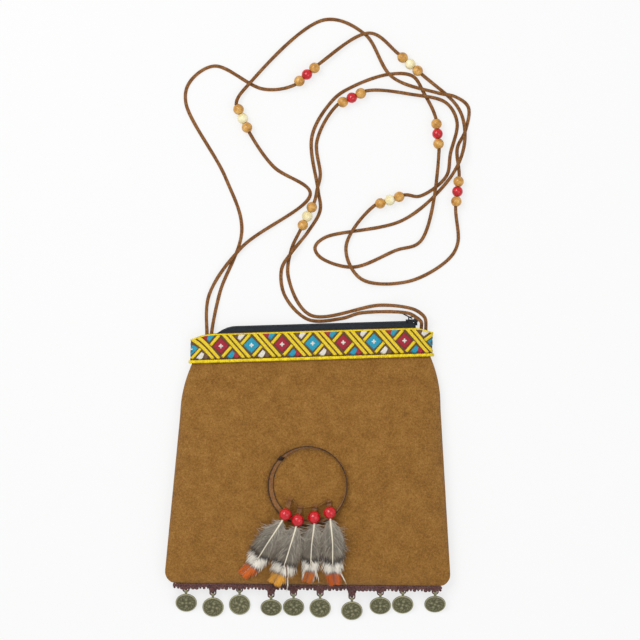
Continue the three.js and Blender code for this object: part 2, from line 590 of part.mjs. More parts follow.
function pendantPieces(pendant, number) {
  const frame = pendantFrame(pendant);
  const bead = frame.worldToLocal(beadAt(pendant));
  piece('feather_loop_' + number, laceTab(bead), laceSuede, frame);
  const round = beadGeometry(BEAD_RADIUS, BEAD_RADIUS * 1.92, BEAD_BORE);
  const ball = piece('feather_bead_' + number, round, beadPaint.red, frame);
  ball.position.copy(bead);
  const vane = feather(pendant).applyMatrix4(frame.matrixWorld.clone().invert());
  piece('feather_' + number, vane, plume, frame);
}

// Strap: flat laces through groups of three beads.
const routeOf = (points) => points.map((point) => vec(...point));

function strapLace(points) {
  return loft(levelSections(routeOf(points), FLAT_OUTLINE, () => [LACE_WIDTH / 2, LACE_THICKNESS / 2]));
}

function strapBeads(points, [first, name, tint]) {
  const [from, to] = [vec(...points[first]), vec(...points[first + 1])];
  const along = to.clone().sub(from).normalize();
  const middle = from.clone().add(to).multiplyScalar(0.5);
  ['wood', tint, 'wood'].forEach((paint, i) => {
    const ball = piece(`bead_${name}_${i + 1}`,
      beadGeometry(STRAP_BEAD_RADIUS, STRAP_BEAD_LENGTH, STRAP_BEAD_BORE, 9), beadPaint[paint]);
    ball.position.copy(middle).addScaledVector(along, (i - 1) * STRAP_BEAD_PITCH);
    ball.quaternion.setFromUnitVectors(vec(0, 1, 0), along);
  });
}

piece('front_panel', frontPanel(), suede);
piece('back_panel', backPanel(), suede);
piece('ribbon_band', ribbonBand(), weave);
piece('zip_tape_front', tape(1), tapeCloth, mouth);
piece('zip_tape_back', tape(-1), tapeCloth, mouth);
piece('zip_chain_front', chainRow(1), nylon, mouth);
piece('zip_chain_back', chainRow(-1), nylon, mouth);
piece('zip_slider', sliderBody(), blackMetal, mouth).position.set(SLIDER_AT, 0, 0);
const pull = piece('zip_pull', pullTab(), blackMetal, mouth);
pull.position.set(SLIDER_AT, PIVOT_OUT, 0);
pull.rotation.z = radians(PULL_ANGLE);
piece('crochet_trim', crochetTrim(), crochet);
COINS.forEach(([x, y, tilt], i) => {
  const hung = piece('coin_' + (i + 1), coin(), bronze);
  hung.position.set(x, y, coinLift(tilt));
  hung.rotation.x = coinTilt(tilt);
});
piece('hoop_band', hoopBand(), laceSuede);
piece('hang_thread', hangThread(), laceSuede);
PENDANTS.forEach((pendant, i) => pendantPieces(pendant, i + 1));
piece('strap_lace_a', strapLace(LACE_A), laceSuede);
piece('strap_lace_b', strapLace(LACE_B), laceSuede);
GROUPS_A.forEach((group) => strapBeads(LACE_A, group));
GROUPS_B.forEach((group) => strapBeads(LACE_B, group));

export default bag;
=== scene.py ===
import math
import bpy
import numpy as np
from mathutils import Matrix, Vector, noise


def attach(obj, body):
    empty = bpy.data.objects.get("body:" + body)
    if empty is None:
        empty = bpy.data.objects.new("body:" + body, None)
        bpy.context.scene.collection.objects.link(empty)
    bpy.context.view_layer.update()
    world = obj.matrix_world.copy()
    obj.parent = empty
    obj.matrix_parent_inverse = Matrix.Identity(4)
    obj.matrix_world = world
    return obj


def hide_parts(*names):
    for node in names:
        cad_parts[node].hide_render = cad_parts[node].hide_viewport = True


for spare in ("Cube", "Light", "Camera"):
    if spare in bpy.data.objects:
        bpy.data.objects.remove(bpy.data.objects[spare])
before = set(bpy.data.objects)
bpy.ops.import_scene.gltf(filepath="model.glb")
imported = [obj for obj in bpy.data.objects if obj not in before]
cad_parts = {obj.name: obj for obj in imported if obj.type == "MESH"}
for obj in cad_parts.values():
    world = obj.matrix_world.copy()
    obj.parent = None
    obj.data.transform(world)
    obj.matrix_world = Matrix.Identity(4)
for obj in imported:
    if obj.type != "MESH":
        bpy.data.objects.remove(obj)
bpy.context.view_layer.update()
mm = 0.001
rng = np.random.default_rng(11)
bpy.context.scene.view_settings.view_transform = "Standard"


# view and light
view = {"centre": (0.0094, 0.1035), "width": 0.48, "lens": 200.0, "sensor": 36.0, "plane": 0.004}
studio = {"ambient": 0.62, "key": 17.0, "keySize": 1.1, "keyAt": (-0.75, 0.85, 1.5), "fill": 5.0,
          "fillAt": (0.9, -0.3, 1.4), "floor": 3000}


def makeCamera():
    camera = bpy.data.cameras.new("viewCamera")
    camera.lens = view["lens"]
    camera.sensor_width = view["sensor"]
    camera.clip_end = 50
    holder = bpy.data.objects.new("viewCamera", camera)
    away = view["width"] * view["lens"] / view["sensor"]
    holder.location = (*view["centre"], view["plane"] + away)
    bpy.context.collection.objects.link(holder)
    bpy.context.scene.camera = holder


def makeLamp(name, power, size, at):
    lamp = bpy.data.lights.new(name, "AREA")
    lamp.energy = power
    lamp.size = size
    holder = bpy.data.objects.new(name, lamp)
    holder.location = at
    holder.rotation_euler = (Vector((*view["centre"], 0)) - Vector(at)).to_track_quat("-Z", "Y").to_euler()
    bpy.context.collection.objects.link(holder)


makeCamera()
makeLamp("keyLamp", studio["key"], studio["keySize"], studio["keyAt"])
makeLamp("fillLamp", studio["fill"], studio["keySize"], studio["fillAt"])
print("camera and lamps placed")


# shader wiring
def linear(hexColour):
    parts = [int(hexColour[i:i + 2], 16) / 255 for i in (0, 2, 4)]
    return [c / 12.92 if c <= 0.04045 else ((c + 0.055) / 1.055) ** 2.4 for c in parts] + [1.0]


class Wire:
    def __init__(self, finish, socket):
        self.finish = finish
        self.socket = socket

    def sum(self, kind, first, second):
        return self.finish.add("Math", {"operation": kind}, {0: first, 1: second})

    def __add__(self, other):
        return self.sum("ADD", self, other)

    def __radd__(self, other):
        return self.sum("ADD", other, self)

    def __sub__(self, other):
        return self.sum("SUBTRACT", self, other)

    def __rsub__(self, other):
        return self.sum("SUBTRACT", other, self)

    def __mul__(self, other):
        return self.sum("MULTIPLY", self, other)

    def __rmul__(self, other):
        return self.sum("MULTIPLY", other, self)


class Finish:
    def __init__(self, name, world=None):
        owner = world or bpy.data.materials.new(name)
        owner.use_nodes = True
        self.material = owner
        self.tree = owner.node_tree
        self.tree.nodes.clear()

    def add(self, kind, settings=None, sockets=None, out=0):
        node = self.tree.nodes.new("ShaderNode" + kind)
        for key, value in (settings or {}).items():
            if key == "stops":
                ramp = node.color_ramp.elements
                while len(ramp) < len(value):
                    ramp.new(0.5)
                for stop, (at, colour) in zip(ramp, value):
                    stop.position = at
                    stop.color = colour
            else:
                setattr(node, key, value)
        for key, value in (sockets or {}).items():
            if isinstance(value, Wire):
                self.tree.links.new(value.socket, node.inputs[key])
            else:
                node.inputs[key].default_value = value
        return Wire(self, node.outputs[out]) if len(node.outputs) else None

    def place(self, scale=(1, 1, 1), turn=(0, 0, 0), kind="Object"):
        spot = self.add("TexCoord", out=kind)
        return self.add("Mapping", None, {"Vector": spot, "Scale": scale, "Rotation": turn})

    def grain(self, scale, detail=4.0, rough=0.6, where=None):
        spot = where or self.place()
        return self.add("TexNoise", None, {"Vector": spot, "Scale": scale, "Detail": detail, "Roughness": rough}, "Fac")

    def ramp(self, value, stops):
        return self.add("ValToRGB", {"stops": [(at, linear(c)) for at, c in stops]}, {"Fac": value}, "Color")

    def bump(self, height, strength, depth):
        return self.add("Bump", None, {"Height": height, "Strength": strength, "Distance": depth}, "Normal")

    def coat(self, sockets):
        shader = self.add("BsdfPrincipled", None, sockets, "BSDF")
        self.add("OutputMaterial", None, {"Surface": shader})
        return self.material


def suedeFinish(name, dark, mid, pale, nap):
    f = Finish(name)
    fine = f.grain(nap, 6.0, 0.75)
    patch = f.grain(95.0, 3.0, 0.55)
    nub = f.grain(640.0, 4.0, 0.7)
    tone = fine * 0.5 + patch * 0.16 + nub * 0.34
    colour = f.ramp(tone, [(0.38, dark), (0.5, mid), (0.62, pale)])
    return f.coat({"Base Color": colour, "Roughness": 0.96, "Specular IOR Level": 0.12, "Sheen Weight": 0.12,
                   "Sheen Roughness": 0.6, "Normal": f.bump(fine + nub * 0.6, 0.5, 0.0005)})


def clothFinish(name, colour, deep, pitch, gloss=0.75, across="Object", rise=0.5):
    f = Finish(name)
    spot = f.place(kind=across)
    wave = {"Vector": spot, "Scale": pitch, "Distortion": 1.2, "Detail": 2.0, "Detail Scale": 2.0}
    warp, weft = (f.add("TexWave", {"bands_direction": way}, wave, "Fac") for way in "XY")
    mottle = f.grain(600.0, 3.0)
    weave = warp * 0.5 + weft * 0.5
    tint = f.ramp(weave * 0.55 + mottle * 0.45, [(0.2, deep), (0.62, colour)])
    return f.coat({"Base Color": tint, "Roughness": gloss, "Specular IOR Level": 0.3,
                   "Normal": f.bump(weave, rise, 0.00025)})


def satinFinish(name, colour, deep, gloss=0.55):
    f = Finish(name)
    spot = f.place(kind="UV")
    wave = {"Vector": spot, "Scale": 0.62, "Distortion": 0.8, "Detail": 1.5, "Detail Scale": 1.0}
    thread = f.add("TexWave", {"bands_direction": "X"}, wave, "Fac")
    mottle = f.grain(900.0, 3.0)
    tint = f.ramp(thread * 0.6 + mottle * 0.4, [(0.15, deep), (0.6, colour)])
    return f.coat({"Base Color": tint, "Roughness": gloss, "Specular IOR Level": 0.45,
                   "Normal": f.bump(thread, 0.6, 0.0002)})


def threadFinish(name, colour, deep, gloss=0.7):
    f = Finish(name)
    mottle = f.grain(1400.0, 4.0)
    strand = f.grain(420.0, 2.0, 0.5, f.place((1, 1, 1), (0.4, 0.3, 0.7)))
    tint = f.ramp(mottle * 0.6 + strand * 0.4, [(0.3, deep), (0.6, colour)])
    return f.coat({"Base Color": tint, "Roughness": gloss, "Specular IOR Level": 0.3,
                   "Normal": f.bump(mottle, 0.5, 0.0002)})


def beadFinish(name, dark, mid, pale, gloss, shine, grainPull):
    f = Finish(name)
    rings = f.grain(260.0, 3.0, 0.5, f.place((1, 1, grainPull), (0.3, 0.2, 0.6)))
    speck = f.grain(1500.0, 2.0)
    tint = f.ramp(rings * 0.75 + speck * 0.25, [(0.32, dark), (0.5, mid), (0.68, pale)])
    return f.coat({"Base Color": tint, "Roughness": gloss, "Coat Weight": shine, "Coat Roughness": 0.08,
                   "Normal": f.bump(rings, 0.12, 0.0002)})


def coinFinish():
    f = Finish("antiqueBronze")
    relief = f.add("Attribute", {"attribute_name": "relief"}, None, "Fac")
    tarnish = f.grain(700.0, 5.0, 0.65)
    wear = relief * 0.75 + tarnish * 0.5 - 0.12
    tint = f.ramp(wear, [(0.06, "5c5a42"), (0.3, "787659"), (0.6, "949171"), (0.9, "bab694")])
    dull = f.add("MapRange", None, {"Value": wear, "From Min": 0.2, "From Max": 0.8, "To Min": 0.6, "To Max": 0.36})
    return f.coat({"Base Color": tint, "Metallic": 0.7, "Roughness": dull, "Normal": f.bump(tarnish, 0.25, 0.0002)})


def plumeFinish():
    f = Finish("plume")
    tint = f.add("Attribute", {"attribute_name": "plumeColour"}, None, "Color")
    return f.coat({"Base Color": tint, "Roughness": 0.82, "Specular IOR Level": 0.25, "Sheen Weight": 0.2})


def metalFinish():
    f = Finish("blackMetal")
    wear = f.grain(900.0, 4.0)
    tint = f.ramp(wear, [(0.4, "14161a"), (0.72, "3a3d42")])
    dull = f.add("MapRange", None, {"Value": wear, "To Min": 0.28, "To Max": 0.5})
    return f.coat({"Base Color": tint, "Metallic": 0.7, "Roughness": dull})


suede = suedeFinish("bagSuede", "654119", "8a6028", "a87b40", 1500.0)
laceSuede = suedeFinish("laceSuede", "4d2f16", "7d5128", "a6774a", 1900.0)
# dark suede for the hoop's real cut edge, also used as painted contact shade on the hoop's foot and lower walls
edgeAndFootShade = suedeFinish("cutEdgeAndContactShade", "28170c", "47301a", "6a4a2c", 1900.0)
ribbonGround = clothFinish("ribbonGround", "6e5136", "3d2a1a", 620.0)
yellowSatin = satinFinish("yellowSatin", "fbe01e", "b8900a")
redSatin = satinFinish("redSatin", "b01e34", "6e1020")
blueSatin = satinFinish("blueSatin", "27a5c2", "14708c")
whiteSatin = satinFinish("whiteSatin", "f0ece2", "b9b2a6")
brownSatin = satinFinish("brownSatin", "735439", "46301d")
yellowThread = threadFinish("yellowThread", "fde41c", "a88208", 0.6)
mauveThread = threadFinish("mauveThread", "6e4b49", "3a2526", 0.75)
zipCloth = clothFinish("zipCloth", "2a3139", "0d1014", 900.0)
zipNylon = threadFinish("zipNylon", "23282e", "0c0e11", 0.45)
blackMetal = metalFinish()
woodLacquer = beadFinish("woodLacquer", "9a6420", "c78f38", "e2b566", 0.42, 0.35, 0.2)
redLacquer = beadFinish("redLacquer", "a80514", "c60a1c", "d41828", 0.2, 0.3, 1.0)
creamLacquer = beadFinish("creamLacquer", "dccb90", "efe3b4", "f8f1d2", 0.4, 0.3, 1.0)
bronze = coinFinish()
plume = plumeFinish()
print("finishes wired")


# mesh helpers, in millimetres until a piece is made
def makePiece(name, verts, faces, materials, slots=None, uvs=None, smooth=True):
    mesh = bpy.data.meshes.new(name)
    mesh.from_pydata((np.asarray(verts, float) * mm).tolist(), [], [list(map(int, f)) for f in faces])
    for material in materials if isinstance(materials, list) else [materials]:
        mesh.materials.append(material)
    if slots is not None:
        mesh.polygons.foreach_set("material_index", np.asarray(slots, np.int32))
    if uvs is not None:
        layer = mesh.uv_layers.new(name="UVMap")
        corner = np.zeros(len(mesh.loops), np.int32)
        mesh.loops.foreach_get("vertex_index", corner)
        layer.data.foreach_set("uv", np.asarray(uvs, np.float32)[corner].ravel())
    mesh.polygons.foreach_set("use_smooth", np.full(len(mesh.polygons), smooth))
    mesh.update()
    piece = bpy.data.objects.new(name, mesh)
    bpy.context.collection.objects.link(piece)
    return piece


def settle(piece, body, slotName, *nodes):
    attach(piece, body)
    if nodes:
        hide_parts(*nodes)


class Heap:  # gathers many small shapes into one mesh
    def __init__(self):
        self.verts, self.faces, self.slots, self.uvs, self.marks = [], [], [], [], []
        self.count = 0

    def put(self, verts, faces, slot=0, uvs=None, marks=None):
        verts = np.asarray(verts, float)
        self.verts.append(verts)
        self.faces += [tuple(i + self.count for i in f) for f in faces]
        self.slots += [slot] * len(faces)
        self.uvs.append(np.zeros((len(verts), 2)) if uvs is None else np.asarray(uvs, float))
        self.marks.append(np.zeros((len(verts), 3)) if marks is None else np.asarray(marks, float))
        self.count += len(verts)

    def piece(self, name, materials, smooth=True):
        return makePiece(name, np.vstack(self.verts), self.faces, materials, self.slots, np.vstack(self.uvs), smooth)


def sweepShape(sections, loop=False):  # closed tube over rings of points
    count, sides = len(sections), len(sections[0])
    verts = np.vstack(sections)
    faces = []
    for i in range(count if loop else count - 1):
        a, b = i * sides, ((i + 1) % count) * sides
        for j in range(sides):
            k = (j + 1) % sides
            faces.append((a + j, a + k, b + k, b + j))
    if not loop:
        faces.append(tuple(reversed(range(sides))))
        faces.append(tuple(range((count - 1) * sides, count * sides)))
    return verts, faces


def sheetShape(outer, inner, around=False):  # closed sheet between two grids of points
    rows, cols = len(outer), len(outer[0])
    verts = np.vstack([np.asarray(outer).reshape(-1, 3), np.asarray(inner).reshape(-1, 3)])
    half = rows * cols
    faces = []
    last = cols if around else cols - 1
    for r in range(rows - 1):
        for c in range(last):
            a, b = r * cols + c, r * cols + (c + 1) % cols
            faces.append((a, b, b + cols, a + cols))
            faces.append((half + a, half + a + cols, half + b + cols, half + b))
    for c in range(last):
        b = (c + 1) % cols
        faces.append((c, half + c, half + b, b))
        top = (rows - 1) * cols
        faces.append((top + c, top + b, half + top + b, half + top + c))
    for r in range(0 if around else rows - 1):
        a, b = r * cols, (r + 1) * cols
        faces.append((a, b, half + b, half + a))
        faces.append((a + cols - 1, half + a + cols - 1, half + b + cols - 1, b + cols - 1))
    return verts, faces


def unit(v):
    return v / max(np.linalg.norm(v), 1e-9)


def tangents(points):
    step = np.gradient(points, axis=0)
    return step / np.maximum(np.linalg.norm(step, axis=1, keepdims=True), 1e-9)


def tubeShape(points, radius, sides=8, flat=1.0, up=(0, 0, 1)):
    points = np.asarray(points, float)
    ahead = tangents(points)
    sections = []
    for i, (p, t) in enumerate(zip(points, ahead)):
        side = np.cross(up, t)
        side = unit(side) if np.linalg.norm(side) > 0.05 else unit(np.cross((0, 1, 0), t))
        rise = np.cross(t, side)
        r = radius[i] if np.ndim(radius) else radius
        turn = 2 * math.pi * np.arange(sides) / sides
        sections.append(p + r * (np.outer(np.cos(turn), side) + flat * np.outer(np.sin(turn), rise)))
    return sweepShape(sections)


def latheShape(profile, around=28):  # profile of (radius, along) round its own Z axis, closed on itself
    turn = 2 * math.pi * np.arange(around) / around
    sections = [[(r * math.cos(a), r * math.sin(a), z) for r, z in profile] for a in turn]
    verts, faces = sweepShape([np.array(s) for s in sections], True)
    return verts, [tuple(reversed(f)) for f in faces]


def turned(verts, axis, centre):  # lays a shape's Z axis along a direction
    spin = np.array(Vector((0, 0, 1)).rotation_difference(Vector(axis)).to_matrix())
    return verts @ spin.T + np.asarray(centre)


def smoothCurve(points, perSpan, straight=()):  # centripetal curve through route points, heights kept level between
    points = np.asarray(points, float)
    out = []
    for i in range(len(points) - 1):
        p1, p2 = points[i], points[i + 1]
        p0, p3 = points[max(i - 1, 0)], points[min(i + 2, len(points) - 1)]
        n = max(int(np.linalg.norm(p2 - p1) * perSpan), 2)
        share = np.arange(n)[:, None] / n
        if i in straight:
            out.append(p1 + (p2 - p1) * share)
            continue
        d1, d2, d3 = [max(np.linalg.norm(q), 1e-6) ** 0.5 for q in (p1 - p0, p2 - p1, p3 - p2)]
        m1 = ((p1 - p0) / d1 - (p2 - p0) / (d1 + d2) + (p2 - p1) / d2) * d2 if i else p2 - p1
        m2 = ((p2 - p1) / d2 - (p3 - p1) / (d2 + d3) + (p3 - p2) / d3) * d2 if i + 2 < len(points) else p2 - p1
        t = share
        spot = (2 * t**3 - 3 * t**2 + 1) * p1 + (t**3 - 2 * t**2 + t) * m1
        spot = spot + (3 * t**2 - 2 * t**3) * p2 + (t**3 - t**2) * m2
        ease = t[:, 0] ** 2 * (3 - 2 * t[:, 0])
        spot[:, 2] = p1[2] + (p2[2] - p1[2]) * (0.5 * ease + 0.5 * t[:, 0])
        out.append(spot)
    out.append(points[-1:])
    return np.vstack(out)


# what repeats along a line: one tree, used by every row of stitches or teeth
def repeatTree():
    tree = bpy.data.node_groups.new("repeatAlongLine", "GeometryNodeTree")
    face = tree.interface
    face.new_socket("Geometry", in_out="OUTPUT", socket_type="NodeSocketGeometry")
    for name, kind in (("Geometry", "Geometry"), ("Unit", "Object"), ("Spacing", "Float"), ("Tilt", "Float"),
                       ("Jitter", "Float"), ("Seed", "Int"), ("Finish", "Material")):
        face.new_socket(name, in_out="INPUT", socket_type="NodeSocket" + kind)
    new = tree.nodes.new
    link = tree.links.new
    given, result = new("NodeGroupInput"), new("NodeGroupOutput")
    line, level = new("GeometryNodeMeshToCurve"), new("GeometryNodeSetCurveNormal")
    points = new("GeometryNodeCurveToPoints")
    level.mode = "Z_UP"
    points.mode = "LENGTH"
    shape, spread = new("GeometryNodeObjectInfo"), new("GeometryNodeInstanceOnPoints")
    lean = new("FunctionNodeRotateRotation")
    lean.rotation_space = "LOCAL"
    tilt, chance, grow = new("ShaderNodeCombineXYZ"), new("FunctionNodeRandomValue"), new("ShaderNodeMath")
    grow.operation = "MULTIPLY_ADD"
    real, paint = new("GeometryNodeRealizeInstances"), new("GeometryNodeSetMaterial")
    link(given.outputs["Geometry"], line.inputs[0])
    link(line.outputs[0], level.inputs[0])
    link(level.outputs[0], points.inputs[0])
    link(given.outputs["Spacing"], points.inputs["Length"])
    link(given.outputs["Unit"], shape.inputs[0])
    link(points.outputs["Points"], spread.inputs["Points"])
    link(shape.outputs["Geometry"], spread.inputs["Instance"])
    link(given.outputs["Tilt"], tilt.inputs["Y"])
    link(points.outputs["Rotation"], lean.inputs[0])
    link(tilt.outputs[0], lean.inputs[1])
    link(lean.outputs[0], spread.inputs["Rotation"])
    chance.inputs[2].default_value = -1.0
    chance.inputs[3].default_value = 1.0
    link(given.outputs["Seed"], chance.inputs["Seed"])
    link(chance.outputs[1], grow.inputs[0])
    link(given.outputs["Jitter"], grow.inputs[1])
    grow.inputs[2].default_value = 1.0
    link(grow.outputs[0], spread.inputs["Scale"])
    link(spread.outputs[0], real.inputs[0])
    link(real.outputs[0], paint.inputs[0])
    link(given.outputs["Finish"], paint.inputs["Material"])
    link(paint.outputs[0], result.inputs[0])
    return tree


repeatLine = repeatTree()


def repeated(name, path, shape, spacing, tilt, jitter, seed, finish, loop=False):
    path = np.asarray(path, float) * mm
    edges = [(i, i + 1) for i in range(len(path) - 1)] + ([(len(path) - 1, 0)] if loop else [])
    mesh = bpy.data.meshes.new(name)
    mesh.from_pydata(path.tolist(), edges, [])
    holder = bpy.data.objects.new(name, mesh)
    bpy.context.collection.objects.link(holder)
    stamp = makePiece(name + "Unit", *shape, finish)
    change = holder.modifiers.new("repeat", "NODES")
    change.node_group = repeatLine
    values = {"Unit": stamp, "Spacing": spacing * mm, "Tilt": tilt, "Jitter": jitter, "Seed": seed, "Finish": finish}
    for item in repeatLine.interface.items_tree:
        if item.in_out == "INPUT" and item.name in values:
            change[item.identifier] = values[item.name]
    bpy.context.view_layer.update()
    drawn = holder.evaluated_get(bpy.context.evaluated_depsgraph_get())
    plain = bpy.data.meshes.new_from_object(drawn)
    holder.modifiers.clear()
    holder.data = plain
    plain.polygons.foreach_set("use_smooth", np.full(len(plain.polygons), True))
    bpy.data.objects.remove(stamp)
    return holder


def roundBlob(rx, ry, rz, rows=5, around=8):  # small rounded stitch
    verts = [(0, 0, -rz)]
    for i in range(1, rows):
        a = math.pi * i / rows - math.pi / 2
        verts += [(rx * math.cos(a) * math.cos(b), ry * math.cos(a) * math.sin(b), rz * math.sin(a))
                  for b in 2 * math.pi * np.arange(around) / around]
    verts.append((0, 0, rz))
    faces = [(0, 1 + (j + 1) % around, 1 + j) for j in range(around)]
    for i in range(rows - 2):
        for j in range(around):
            k = (j + 1) % around
            faces.append((1 + i * around + j, 1 + i * around + k, 1 + (i + 1) * around + k, 1 + (i + 1) * around + j))
    top = len(verts) - 1
    faces += [(top, top - around + j, top - around + (j + 1) % around) for j in range(around)]
    return np.array(verts), faces


def joinPieces(name, pieces):
    first = pieces[0]
    bpy.ops.object.select_all(action="DESELECT")
    for p in pieces:
        p.select_set(True)
    bpy.context.view_layer.objects.active = first
    bpy.ops.object.join()
    first.name = name
    return first


# strap: two flat laces with beads, routes in metres from the left end of the mouth to the right end
strap = {"width": 2.6, "thick": 1.3, "beadRadius": 4.0, "beadLength": 7.2, "pitch": 7.5, "bore": 1.8}
routeA = [
    (-0.0720, 0.0878, 0.00345), (-0.0720, 0.0930, 0.00375), (-0.0657, 0.1245, 0.00070), (-0.0493, 0.1710, 0.00070),
    (-0.0615, 0.2103, 0.00070), (-0.0914, 0.2670, 0.00070), (-0.0883, 0.2823, 0.00070), (-0.0699, 0.2942, 0.00070),
    (-0.0331, 0.2769, 0.00070), (-0.0092, 0.2800, 0.00405), (0.0084, 0.2953, 0.00405), (0.0469, 0.3188, 0.00245),
    (0.0682, 0.3031, 0.00405), (0.0858, 0.2877, 0.00405), (0.1129, 0.2632, 0.00070), (0.1181, 0.2452, 0.00300),
    (0.1151, 0.2254, 0.00670), (0.1028, 0.2048, 0.00120), (0.0712, 0.1783, 0.00070), (0.0124, 0.1651, 0.00070),
    (0.0056, 0.1579, 0.00070), (0.0094, 0.1508, 0.00070), (0.0339, 0.1432, 0.00070), (0.0664, 0.1558, 0.00070),
    (0.0850, 0.1628, 0.00165), (0.0987, 0.2315, 0.00405), (0.0963, 0.2548, 0.00405), (0.0875, 0.2738, 0.00070),
    (0.0790, 0.2866, 0.00070), (0.0611, 0.2880, 0.00070), (0.0328, 0.2782, 0.00070), (0.0194, 0.2690, 0.00070),
    (0.0034, 0.2415, 0.00070), (0.0079, 0.2013, 0.00070), (0.0095, 0.1860, 0.00070), (0.0007, 0.1702, 0.00070),
    (-0.0125, 0.1534, 0.00455), (-0.0194, 0.1419, 0.00070), (-0.0171, 0.1220, 0.00070), (0.0005, 0.1039, 0.00070),
    (0.0259, 0.1047, 0.00070), (0.0401, 0.1088, 0.00070), (0.0754, 0.1086, 0.01085), (0.0810, 0.1058, 0.00860),
    (0.0851, 0.1023, 0.00860), (0.0854, 0.0982, 0.00490), (0.0852, 0.0938, 0.00425),
]
routeB = [
    (-0.0754, 0.0878, 0.00375), (-0.0754, 0.0930, 0.00405), (-0.0739, 0.1220, 0.00235), (-0.0495, 0.1579, 0.00235),
    (0.0021, 0.1985, 0.00070), (-0.0254, 0.2186, 0.00070), (-0.0436, 0.2441, 0.00405), (-0.0535, 0.2653, 0.00405),
    (-0.0431, 0.2815, 0.00245), (0.0128, 0.3289, 0.00070), (0.0430, 0.3182, 0.00070), (0.0634, 0.2860, 0.00260),
    (0.0968, 0.2740, 0.00440), (0.1114, 0.2708, 0.00310), (0.1208, 0.2632, 0.00070), (0.1184, 0.2452, 0.00070),
    (0.1125, 0.2325, 0.00070), (0.1138, 0.2115, 0.00405), (0.1111, 0.1883, 0.00405), (0.1128, 0.1612, 0.00070),
    (0.1056, 0.1489, 0.00070), (0.0755, 0.1324, 0.00070), (0.0400, 0.1345, 0.00305), (0.0289, 0.1582, 0.00160),
    (0.0506, 0.1896, 0.00405), (0.0727, 0.1973, 0.00405), (0.0844, 0.1965, 0.00070), (0.1042, 0.2114, 0.00070),
    (0.1073, 0.2282, 0.00070), (0.1123, 0.2520, 0.00070), (0.1039, 0.2665, 0.00355), (0.0784, 0.2727, 0.00355),
    (0.0438, 0.2753, 0.00405), (0.0227, 0.2651, 0.00405), (0.0071, 0.2378, 0.00070), (0.0096, 0.2120, 0.00235),
    (0.0073, 0.2018, 0.00235), (0.0051, 0.1918, 0.00405), (-0.0054, 0.1709, 0.00405), (-0.0121, 0.1564, 0.00070),
    (-0.0144, 0.1358, 0.00070), (0.0020, 0.1073, 0.00070), (0.0544, 0.1146, 0.00175), (0.0769, 0.1123, 0.01230),
    (0.0836, 0.1094, 0.00860), (0.0878, 0.1053, 0.01045), (0.0888, 0.0988, 0.00490), (0.0885, 0.0938, 0.00495),
]
groupsA = [(9, "a1", "red"), (12, "a2", "cream"), (25, "a3", "red")]
groupsB = [(6, "b1", "cream"), (17, "b2", "red"), (24, "b3", "cream"), (32, "b4", "red"), (37, "b5", "cream")]


def laceShape(line):
    ahead = tangents(line)
    half, thick = strap["width"] / 2, strap["thick"] / 2
    turn = 2 * math.pi * np.arange(12) / 12
    across = np.sign(np.cos(turn)) * np.abs(np.cos(turn)) ** 0.6
    high = np.sign(np.sin(turn)) * np.abs(np.sin(turn)) ** 0.6
    sections = []
    for i, (p, t) in enumerate(zip(line, ahead)):
        side = unit(np.cross((0, 0, 1), t))
        rise = np.cross(t, side)
        wide = half * (1 + 0.07 * noise.noise(Vector((p[0], p[1], 3.0)) * 0.11))
        groove = 1 - 0.28 * (np.abs(across) < 0.35)
        sections.append(p + np.outer(across * wide, side) + np.outer(high * thick * groove, rise))
    return sweepShape(sections)


def strapBeadShape(radius, length, bore):
    start = math.asin(min(length / 2 / radius, 0.999))
    arc = np.linspace(-start, start, 15)
    outer = [(max(radius * math.cos(a), bore + 0.3), radius * math.sin(a)) for a in arc]
    end = length / 2
    lip = [(bore + 0.08, end - 0.05), (bore, end - 0.4), (bore, 0.4 - end), (bore + 0.08, 0.05 - end)]
    return latheShape(outer + lip, 32)


def makeStrap(letter, route, groups):
    line = smoothCurve(np.array(route) / mm, 0.55, [g[0] for g in groups])
    lace = makePiece("strapLace" + letter, *laceShape(line), laceSuede)
    heaps = {"wood": Heap(), "red": Heap(), "cream": Heap()}
    nodes = {"wood": [], "red": [], "cream": []}
    for first, name, tint in groups:
        a, b = np.array(route[first]) / mm, np.array(route[first + 1]) / mm
        along = unit(b - a)
        for i, paint in enumerate(("wood", tint, "wood")):
            radius = strap["beadRadius"] * (1 + 0.015 * math.sin(first + 3 * i))
            shape = strapBeadShape(radius, strap["beadLength"], strap["bore"])
            heaps[paint].put(turned(shape[0], along, (a + b) / 2 + along * (i - 1) * strap["pitch"]), shape[1])
            nodes[paint].append(f"bead_{name}_{i + 1}")
    for paint, material in (("wood", woodLacquer), ("red", redLacquer), ("cream", creamLacquer)):
        piece = heaps[paint].piece(paint + "Beads" + letter, [material])
        settle(piece, "bag", paint + "_bead", *nodes[paint])
    settle(lace, "bag", "lace", "strap_lace_" + letter.lower())
    long = float(np.linalg.norm(np.diff(line, axis=0), axis=1).sum()) * mm


makeStrap("A", routeA, groupsA)
makeStrap("B", routeB, groupsB)
print("strap laid")


# form of the stuffed bag, by height above the bottom seam
bag = {"height": 190.6, "base": 215.0, "shoulder": 195.0, "mouth": 179.0, "shoulderAt": 131.0, "corner": 10.0,
       "centre": 95.0, "lean": 3.2, "baseSlope": -0.012, "mouthSlope": 0.0297, "suede": 1.2, "gap": 0.3, "crown": 20.0,
       "crownAt": 80.0, "mouthFront": 9.2, "baseSeam": 8.5, "mouthSeam": 5.15, "roll": 18.0}
ribbon = {"height": 20.5, "thick": 0.75, "gap": 0.35, "pitch": 22.9, "middleAt": 3.75, "dip": 3.4,
          "clear": 0.02, "middle": 10.9, "lean": 49.0}
ribbonFrom = bag["height"] - ribbon["height"]
cuffFrom = ribbonFrom - 2


def smooth(t):
    t = min(max(t, 0.0), 1.0)
    return t * t * (3 - 2 * t)


def lerp(a, b, t):
    return a + (b - a) * t


def toMouth(v):
    return smooth((v - bag["crownAt"]) / (cuffFrom - bag["crownAt"]))


def centreX(v):
    return bag["lean"] * v / bag["height"]


